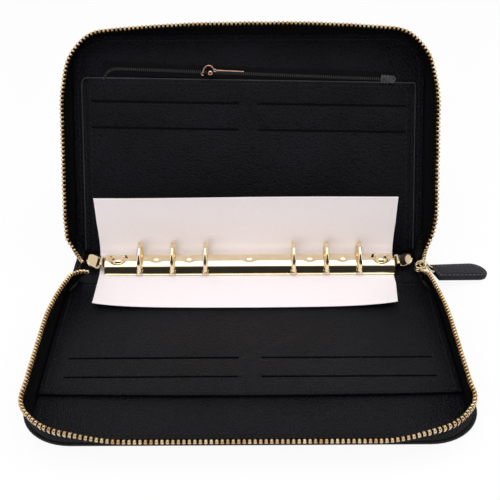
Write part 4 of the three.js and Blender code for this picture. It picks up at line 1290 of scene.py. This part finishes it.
# Loose sheet: held under the plate, forward over the front cover and up behind the rings
sheet = {"front": (-86.2, 81.0), "plate": (-86.9, 83.2), "top": (-88.7, 85.0), "thick": 0.25,
         "middle": 6.145, "back": 13.5, "rise": 45, "frontY": -42.1,
         "curl": 2.4, "frontSag": 0.8}


def sheetPiece(user):
    middle, back, rise, frontY = (user[k] for k in ("middle", "back", "rise", "frontY"))
    keys = [(frontY, middle + 1.4), (frontY * 0.8, middle + 1.2), (frontY * 0.55, middle + 0.6),
            (-11.7, middle), (0, middle), (8.7, middle), (back - 2.6, middle + 0.1),
            (back - 0.6, middle + 1.7), (back, middle + 5), (back, middle + 9),
            (back - 0.9, middle + 15), (back - 3.4, middle + 24), (back - 7.6, middle + 36),
            (back - 11.6, middle + rise)]
    line = easedLine([(0, y, z) for y, z in keys], 5)
    across = 48
    vertices = []
    for p in line:
        front = max(0.0, min(1.0, (-12 - p.y) / 30))
        t = min(1.0, max(0.0, -0.3 + front * 1.3))
        rise_ = min(1.0, max(0.0, (p.y + 6) / 16))
        left, right = (
            a + (b - a) * t + (c - a) * rise_
            for a, b, c in zip(user["plate"], user["front"], user["top"]))
        for k in range(across + 1):
            u = 2 * k / across - 1
            x = left + (right - left) * k / across
            lift = user["curl"] * front ** 2 * abs(u) ** 6
            sag = user["frontSag"] * front ** 3 * (1 - u * u)
            high = max(0.0, (p.z - 20) / 31)
            vertices.append((x, p.y - 0.5 * front * (1 - u * u) + 0.5 * high * math.sin(3 * u + 0.6),
                             p.z + lift - sag))
    piece = newPiece("looseSheet", vertices, gridFaces(len(line), across + 1))
    thickened(piece, user["thick"])
    return dressed(smooth(piece, 50), sheetPaper)


looseSheet = sheetPiece(sheet)
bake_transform(looseSheet)
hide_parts("loose_sheet")

# Leather pull: one body with a groove for its seam, square near end, a little wider round far end
pull = {"length": 34.5, "width": 13.9, "far": 15.4, "thick": 2.8, "turn": 17.6, "start": 105.9, "y": -9.5,
        "base": 6.2, "floor": 0.25, "inset": 1.9, "crown": 0.35, "stitchPitch": 2.7,
        "stitchLength": 1.9, "stitchThick": 0.62}


def pullPlace(user):
    slope = math.asin((user["base"] - user["floor"]) / user["length"])
    turn = Matrix.Rotation(math.radians(user["turn"]), 4, "Z") @ Matrix.Rotation(slope, 4, "Y")
    return Matrix.Translation((user["start"], user["y"], user["base"])) @ turn


def pullOutline(user, inset):
    near, far = user["width"] / 2, user["far"] / 2
    length = user["length"] - far
    slant = math.atan2(far - near, length)
    drop = inset / math.cos(slant)
    half = near + inset * math.tan(slant) - drop
    points = [(inset, -half)]
    for i in range(21):
        a = -math.pi / 2 + slant + (math.pi - 2 * slant) * i / 20
        points.append((length + (far - inset) * math.cos(a), (far - inset) * math.sin(a)))
    return points + [(inset, half)]


def pullPiece(user):
    place = pullPlace(user)
    t, crown = user["thick"], user["crown"]
    levels = [(0.9, 0.0), (0.35, 0.06), (0.05, 0.35), (0.0, 0.8), (0.0, t - 0.8), (0.05, t - 0.35),
              (0.35, t - 0.06), (0.9, t), (1.5, t + 0.02), (1.9, t - 0.32), (2.3, t + 0.02),
              (3.4, t + crown)]
    rows = [[place @ Vector((x, y, z)) for x, y in pullOutline(user, inset)] for inset, z in levels]
    return dressed(smooth(swept("leatherPull", rows), 60), pullLeather)


leatherPull = pullPiece(pull)
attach(leatherPull, "leather_pull")
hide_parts("leather_pull")
pullMatrix = pullPlace(pull)
seam = [pullMatrix @ Vector((x, y, pull["thick"] - 0.02)) for x, y in pullOutline(pull, pull["inset"])]
seam.append(seam[0])
pullUp = (pullMatrix.to_3x3() @ Vector((0, 0, 1))).normalized()
pullStitches = spread(
    "pullStitches", [(p, d, pullUp) for p, d in walk(seam, pull["stitchPitch"])], stitch,
    (pull["stitchLength"], pull["stitchThick"], pull["stitchThick"]), greyThread,
    uneven=0.08, seed=7)
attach(pullStitches, "leather_pull")
print("sheet and pull ready")

# Main slider: two plates on a post, a flange, a bent bar, a low arch for the link and an eye
slider = {"corners": [(95.3, -11.6), (101.4, -11.0), (101.4, -4.2), (95.3, -4.2)], "corner": 2.0,
          "low": (8.5, 9.4), "high": (11.3, 12.2), "arch": (98.1, 101.7), "archTop": 13.9,
          "eye": (96.6, -11.2, 9.9), "eyeRadius": 1.25, "wire": 0.46, "linkWire": 0.52}


def sliderPiece(user):
    def flat(x, y, z):
        return Vector((x, y, z))
    pieces = []
    for name, (low, high) in (("low", user["low"]), ("high", user["high"])):
        levels = [(0.6, low), (0.15, low + 0.12), (0.0, low + 0.35), (0.0, high - 0.3),
                  (0.15, high - 0.08), (0.6, high)]
        pieces.append(pressed(name, user["corners"], user["corner"], levels, flat))
    post = [(96.2, -9.2), (98.4, -9.2), (98.4, -5.8), (96.2, -5.8)]
    pieces.append(pressed("post", post, 0.8, [(0, user["low"][1] - 0.2), (0, user["high"][0] + 0.2)],
                          flat))
    flange = [(100.5, -10.6), (101.4, -10.6), (101.4, -4.4), (100.5, -4.4)]
    pieces.append(pressed("flange", flange, 0.4, [(0.2, 9.2), (0, 9.4), (0, 12.4), (0.2, 12.7)], flat))
    bar = [(95.6, -8.4, 12.5), (96.0, -7.2, 12.9), (97.2, -5.6, 12.8), (99.4, -4.6, 12.7),
           (100.9, -4.3, 12.5)]
    pieces.append(tube("bar", bar, user["wire"], 10))
    near, far = user["arch"]
    arch = []
    for i in range(13):
        a = math.pi - math.pi * i / 12
        middle, half = (near + far) / 2, (far - near) / 2
        arch.append((middle + half * math.cos(a), -7.5,
                     12.0 + (user["archTop"] - 12.0) * math.sin(a)))
    pieces.append(tube("arch", arch, user["wire"], 10, upright=(0, 1, 0)))
    x, y, z = user["eye"]
    r = user["eyeRadius"]
    eye = [(x + r * math.cos(a), y - 0.5 * r * math.sin(a), z + 0.86 * r * math.sin(a))
           for a in [math.tau * i / 20 for i in range(20)]]
    pieces.append(tube("eye", eye, 0.5, 10, closed=True, upright=(0, -0.86, 0.5)))
    return dressed(joined("mainSlider", pieces), mirrorGold)


mainSlider = sliderPiece(slider)
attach(mainSlider, "spine")
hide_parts("main_slider")
linkPath = [(100.9, -9.3, 13.2), (100.9, -5.7, 13.2), (102.2, -5.1, 11.6), (104.2, -5.3, 9.3),
            (106.6, -5.7, 8.1), (109.4, -5.9, 7.5), (110.3, -7.4, 7.4), (109.8, -9.1, 7.5),
            (106.8, -9.6, 8.1), (104.0, -9.9, 9.3), (102.2, -9.9, 11.6)]
ringed = linkPath + linkPath[:3]
linkLine = easedLine([linkPath[-1]] + ringed, 4)
link = tube("pullLink", linkLine[4:4 + 4 * len(linkPath)], slider["linkWire"], 10, closed=True)
dressed(link, mirrorGold)
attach(link, "pull_link")
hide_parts("pull_link")

# Tape ends sewn to the spine's ends
for word in ("left", "right"):
    endPiece = copyOfNode(word + "_end_tape", word + "EndTape", 0.2)
    dressed(endPiece, endLeather)
    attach(endPiece, "spine")
    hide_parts(word + "_end_tape")

# Pocket zip: nylon coil that dips under the pocket's edge at its left end
pocketZip = {"tilt": math.radians(2.5), "high": 100.5, "rise": 5.2, "height": 5.9, "half": 84,
             "pitch": 1.15}


def onZip(x, y, n):
    a = pocketZip["tilt"]
    return onRear(x * math.cos(a) + y * math.sin(a),
                  pocketZip["high"] - x * math.sin(a) + y * math.cos(a), n)


def loopShape():
    # one turn of the coil, seen from above as a short rib
    rings_ = []
    for i in range(7):
        a = math.pi * i / 6
        y, z = -0.8 * math.cos(a), 0.7 * math.sin(a)
        rings_.append([Vector((0.3 * math.cos(b), y * (1 + 0.25 * math.sin(b)),
                               z * (1 + 0.3 * math.sin(b)) + 0.05)) for b in
                       [k * math.tau / 5 for k in range(5)]])
    return smooth(swept("loopShape", rings_), 70)


coilLine = [(-85, -1.2), (-84, 1.6), (-81.8, 4.0), (-78.5, pocketZip["rise"]),
            (pocketZip["half"], pocketZip["rise"])]
coilPoints = [onZip(x, y, pocketZip["height"]) for x, y in coilLine]
loop = loopShape()
coil = spread("pocketCoil", [(p, d, rearUp) for p, d in walk(coilPoints, pocketZip["pitch"])],
              loop, (1, 1, 1), coilNylon)
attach(coil, "rear_cover")
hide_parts("pocket_zip_coil")
# Its slider: a small domed body, an arch band with a curl, and a long needle pull
pocketSlider = {"dome": (-22.6, 4.7), "domeRadius": 2.1, "domeLow": 6.9, "domeHigh": 9.75, "band": 0.5,
                "archHeight": 9.6, "curl": (-26.9, 4.0, 9.5), "curlRadius": 0.8, "wire": 0.36,
                "needleHeight": 9.9, "needleDrop": 0.9,
                "needleFrom": -19.2, "needleTo": -3.0, "needle": (0.54, 0.38), "needleAt": 6.2}


def pocketSliderPiece(user):
    x0, y0 = user["dome"]
    low, high = user["domeLow"], user["domeHigh"]
    rows = []
    for i in range(9):
        a = math.pi / 2 * i / 8
        r = max(0.02, user["domeRadius"] * math.cos(a) ** 0.7)
        z = low + (high - low) * math.sin(a)
        rows.append([onZip(x0 + r * math.cos(b), y0 + r * math.sin(b), z)
                     for b in [math.tau * k / 20 for k in range(20)]])
    dome = smooth(swept("dome", rows), 60)
    path = [(-26.8, 4.4), (-26.6, 6.2), (-25.7, 7.9), (-24.0, 8.8), (-22.2, 8.6), (-20.9, 7.4),
            (-20.4, 6.2)]
    line = easedLine([onZip(x, y, user["archHeight"]) for x, y in path], 4)
    arch = tube("arch", line, user["band"], 8, upright=rearUp)
    x, y, z = user["curl"]
    r = user["curlRadius"]
    curl = [onZip(x + r * math.cos(a), y + r * math.sin(a), z)
            for a in [math.radians(60 + 250 * i / 14) for i in range(15)]]
    ringlet = tube("ringlet", curl, user["wire"], 8, upright=rearUp)
    return dressed(joined("pocketSlider", [dome, arch, ringlet]), roseGold)


def needlePiece(user):
    middle = user["needleAt"]
    start, end = user["needleFrom"], user["needleTo"]
    high, drop = user["needleHeight"], user["needleDrop"]
    line = [onZip(start + (end - start) * i / 12, middle, high - drop * (i / 12) ** 0.6)
            for i in range(13)]
    thick, thin = user["needle"]
    needle = tube("needle", line, lambda t: (thick + (thin - thick) * t) * (1.35 if t < 0.05 else 1), 10,
                  upright=rearUp)
    eye = [onZip(start - 0.5 + 0.8 * math.cos(a), middle + 0.7 * math.sin(a), high)
           for a in [math.tau * i / 14 for i in range(14)]]
    ringlet = tube("ringlet", eye, user["wire"], 8, closed=True, upright=rearUp)
    return dressed(joined("pocketNeedle", [needle, ringlet]), roseGold)


pocketBody = pocketSliderPiece(pocketSlider)
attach(pocketBody, "pocket_slider")
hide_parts("pocket_zip_slider")
needle = needlePiece(pocketSlider)
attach(needle, "pocket_pull")
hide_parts("pocket_zip_pull")

# Folded tab at the coil's right end: three ridges, then a round loop, in lighter grey leather that paints
# the highlights on them
endTab = {"from": 77.3, "to": 86.1, "half": 2.3, "base": 5.9, "ridges": (78.0, 79.7, 81.4), "ridge": 0.6,
          "loopFrom": 82.6, "loop": 0.5, "loopHeight": 7.0}


def endTabPiece(user):
    middle, base = pocketZip["rise"], user["base"]
    low, high = user["from"], user["to"]
    corners = [(low, middle - 2.2), (high, middle - 2.2), (high, middle + 2.2), (low, middle + 2.2)]
    levels = [(0.1, base), (0, base + 0.2), (0, base + 0.6), (0.3, base + 0.9), (0.8, base + 1.0)]
    pad = pressed("pad", corners, 2.0, levels, onZip)
    pieces = [pad]
    for x in user["ridges"]:
        line = [onZip(x + 0.12 * math.sin(2 * t), middle + user["half"] * t, 6.7 + 0.5 * (1 - t * t))
                for t in [i / 4 - 1 for i in range(9)]]
        pieces.append(tube("ridge", line, user["ridge"], 8, upright=rearUp))
    loopLine = [(user["loopFrom"], middle + 1.7), (84.2, middle + 1.75), (85.3, middle + 1.1),
                (85.7, middle), (85.3, middle - 1.1), (84.2, middle - 1.75),
                (user["loopFrom"], middle - 1.7)]
    line = easedLine([onZip(x, y, user["loopHeight"]) for x, y in loopLine], 3)
    pieces.append(tube("loop", line, user["loop"], 8, upright=rearUp))
    # its lighter grey leather paints the highlights on the ridges and loop
    return dressed(joined("zipEndTab", pieces), tabHighlightLeather)


tab = endTabPiece(endTab)
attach(tab, "rear_cover")
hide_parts("pocket_zip_end_tab")
print("pocket zip ready")

for piece in (tooth, stitch, loop):
    bpy.data.objects.remove(piece)


# Floor, world and lamps
studio = {"floor": 0.9, "glow": 0.92, "world": 0.56, "dark": 0.03, "darkFrom": 0.50, "darkTo": 0.64,
          "key": 6.2, "keyPlace": (-0.25, -0.98, 0.52), "keySize": 0.8,
          "band": 0.27, "bandHalf": 0.07, "bandShade": 0.85,
          "fill": 1.6, "fillPlace": (0.7, 0.1, 0.7), "fillSize": 0.6,
          "top": 3.4, "topPlace": (0, -0.2, 1.05), "topSize": 0.8}


def seenMask(tree, place):
    path = addNode(tree, "ShaderNodeLightPath", place)
    first = mathNode(tree, "MAXIMUM", (place[0] + 200, place[1]), path.outputs["Is Camera Ray"],
                     path.outputs["Is Glossy Ray"])
    return mathNode(tree, "MAXIMUM", (place[0] + 400, place[1]), first,
                    path.outputs["Is Transmission Ray"])


def floorPiece(user):
    piece = newPiece("floor", [(-3000, -3000, -0.2), (3000, -3000, -0.2), (3000, 3000, -0.2),
                               (-3000, 3000, -0.2)], [(0, 1, 2, 3)])
    material = bpy.data.materials.new("paleFloor")
    material.use_nodes = True
    tree = material.node_tree
    tree.nodes.clear()
    out = addNode(tree, "ShaderNodeOutputMaterial", (900, 0))
    lit = addNode(tree, "ShaderNodeBsdfDiffuse", (300, 100))
    lit.inputs["Color"].default_value = (user["floor"],) * 3 + (1,)
    glow = addNode(tree, "ShaderNodeEmission", (300, -100))
    share = mathNode(tree, "MULTIPLY", (300, -300), seenMask(tree, (-300, -300)), user["glow"])
    mix = addNode(tree, "ShaderNodeMixShader", (650, 0))
    tree.links.new(share, mix.inputs["Fac"])
    tree.links.new(lit.outputs[0], mix.inputs[1])
    tree.links.new(glow.outputs[0], mix.inputs[2])
    tree.links.new(mix.outputs[0], out.inputs["Surface"])
    piece.data.materials.append(material)


def worldLight(user):
    world = bpy.data.worlds.new("studio")
    bpy.context.scene.world = world
    world.use_nodes = True
    tree = world.node_tree
    back = tree.nodes["Background"]
    back.inputs["Color"].default_value = (1, 1, 1, 1)
    # metal and leather see a dark room low in front
    toward = addNode(tree, "ShaderNodeSeparateXYZ", (-900, 200))
    tree.links.new(addNode(tree, "ShaderNodeTexCoord", (-1100, 200)).outputs["Generated"],
                   toward.inputs[0])
    front = mathNode(tree, "MULTIPLY", (-700, 200), toward.outputs["Y"], -1.0)
    room = addNode(tree, "ShaderNodeMapRange", (-500, 200))
    setInputs(room, From_Min=user["darkFrom"], From_Max=user["darkTo"], To_Min=1.0, To_Max=user["dark"])
    tree.links.new(front, room.inputs["Value"])
    path = addNode(tree, "ShaderNodeLightPath", (-900, -200))
    mirrored = mathNode(tree, "MAXIMUM", (-700, -200), path.outputs["Is Glossy Ray"],
                        path.outputs["Is Transmission Ray"])
    light = addNode(tree, "ShaderNodeMix", (-300, 0), data_type="FLOAT")
    light.inputs["A"].default_value = user["world"]
    tree.links.new(mirrored, light.inputs["Factor"])
    # and the dark rim of the soft lamp overhead
    rim = mathNode(tree, "COMPARE", (-700, 400), toward.outputs["Y"], user["band"])
    rim.node.inputs[2].default_value = user["bandHalf"]
    shade = mathNode(tree, "MULTIPLY", (-500, 400), rim, user["bandShade"])
    rest = mathNode(tree, "SUBTRACT", (-400, 400), 1.0, shade)
    around = mathNode(tree, "MULTIPLY", (-400, 200), room.outputs[0], rest)
    tree.links.new(around, light.inputs["B"])
    seen = addNode(tree, "ShaderNodeMix", (-100, 0), data_type="FLOAT")
    seen.inputs["B"].default_value = 1.0
    tree.links.new(path.outputs["Is Camera Ray"], seen.inputs["Factor"])
    tree.links.new(light.outputs["Result"], seen.inputs["A"])
    tree.links.new(seen.outputs["Result"], back.inputs["Strength"])


def lamp(name, place, size, power, mirrored=False):
    data = bpy.data.lights.new(name, "AREA")
    data.shape = "SQUARE"
    data.size = size
    data.energy = power
    item = bpy.data.objects.new(name, data)
    item.visible_glossy = mirrored
    item.location = place
    aim = Vector((0, 0, 0.03)) - Vector(place)
    item.rotation_euler = aim.to_track_quat("-Z", "Y").to_euler()
    bpy.context.scene.collection.objects.link(item)


floorPiece(studio)
worldLight(studio)
lamp("key", studio["keyPlace"], studio["keySize"], studio["key"])
lamp("fill", studio["fillPlace"], studio["fillSize"], studio["fill"])
# the soft lamp overhead also shows in metal and leather
lamp("top", studio["topPlace"], studio["topSize"], studio["top"], True)
bpy.context.scene.view_settings.view_transform = "Standard"
print("studio ready")
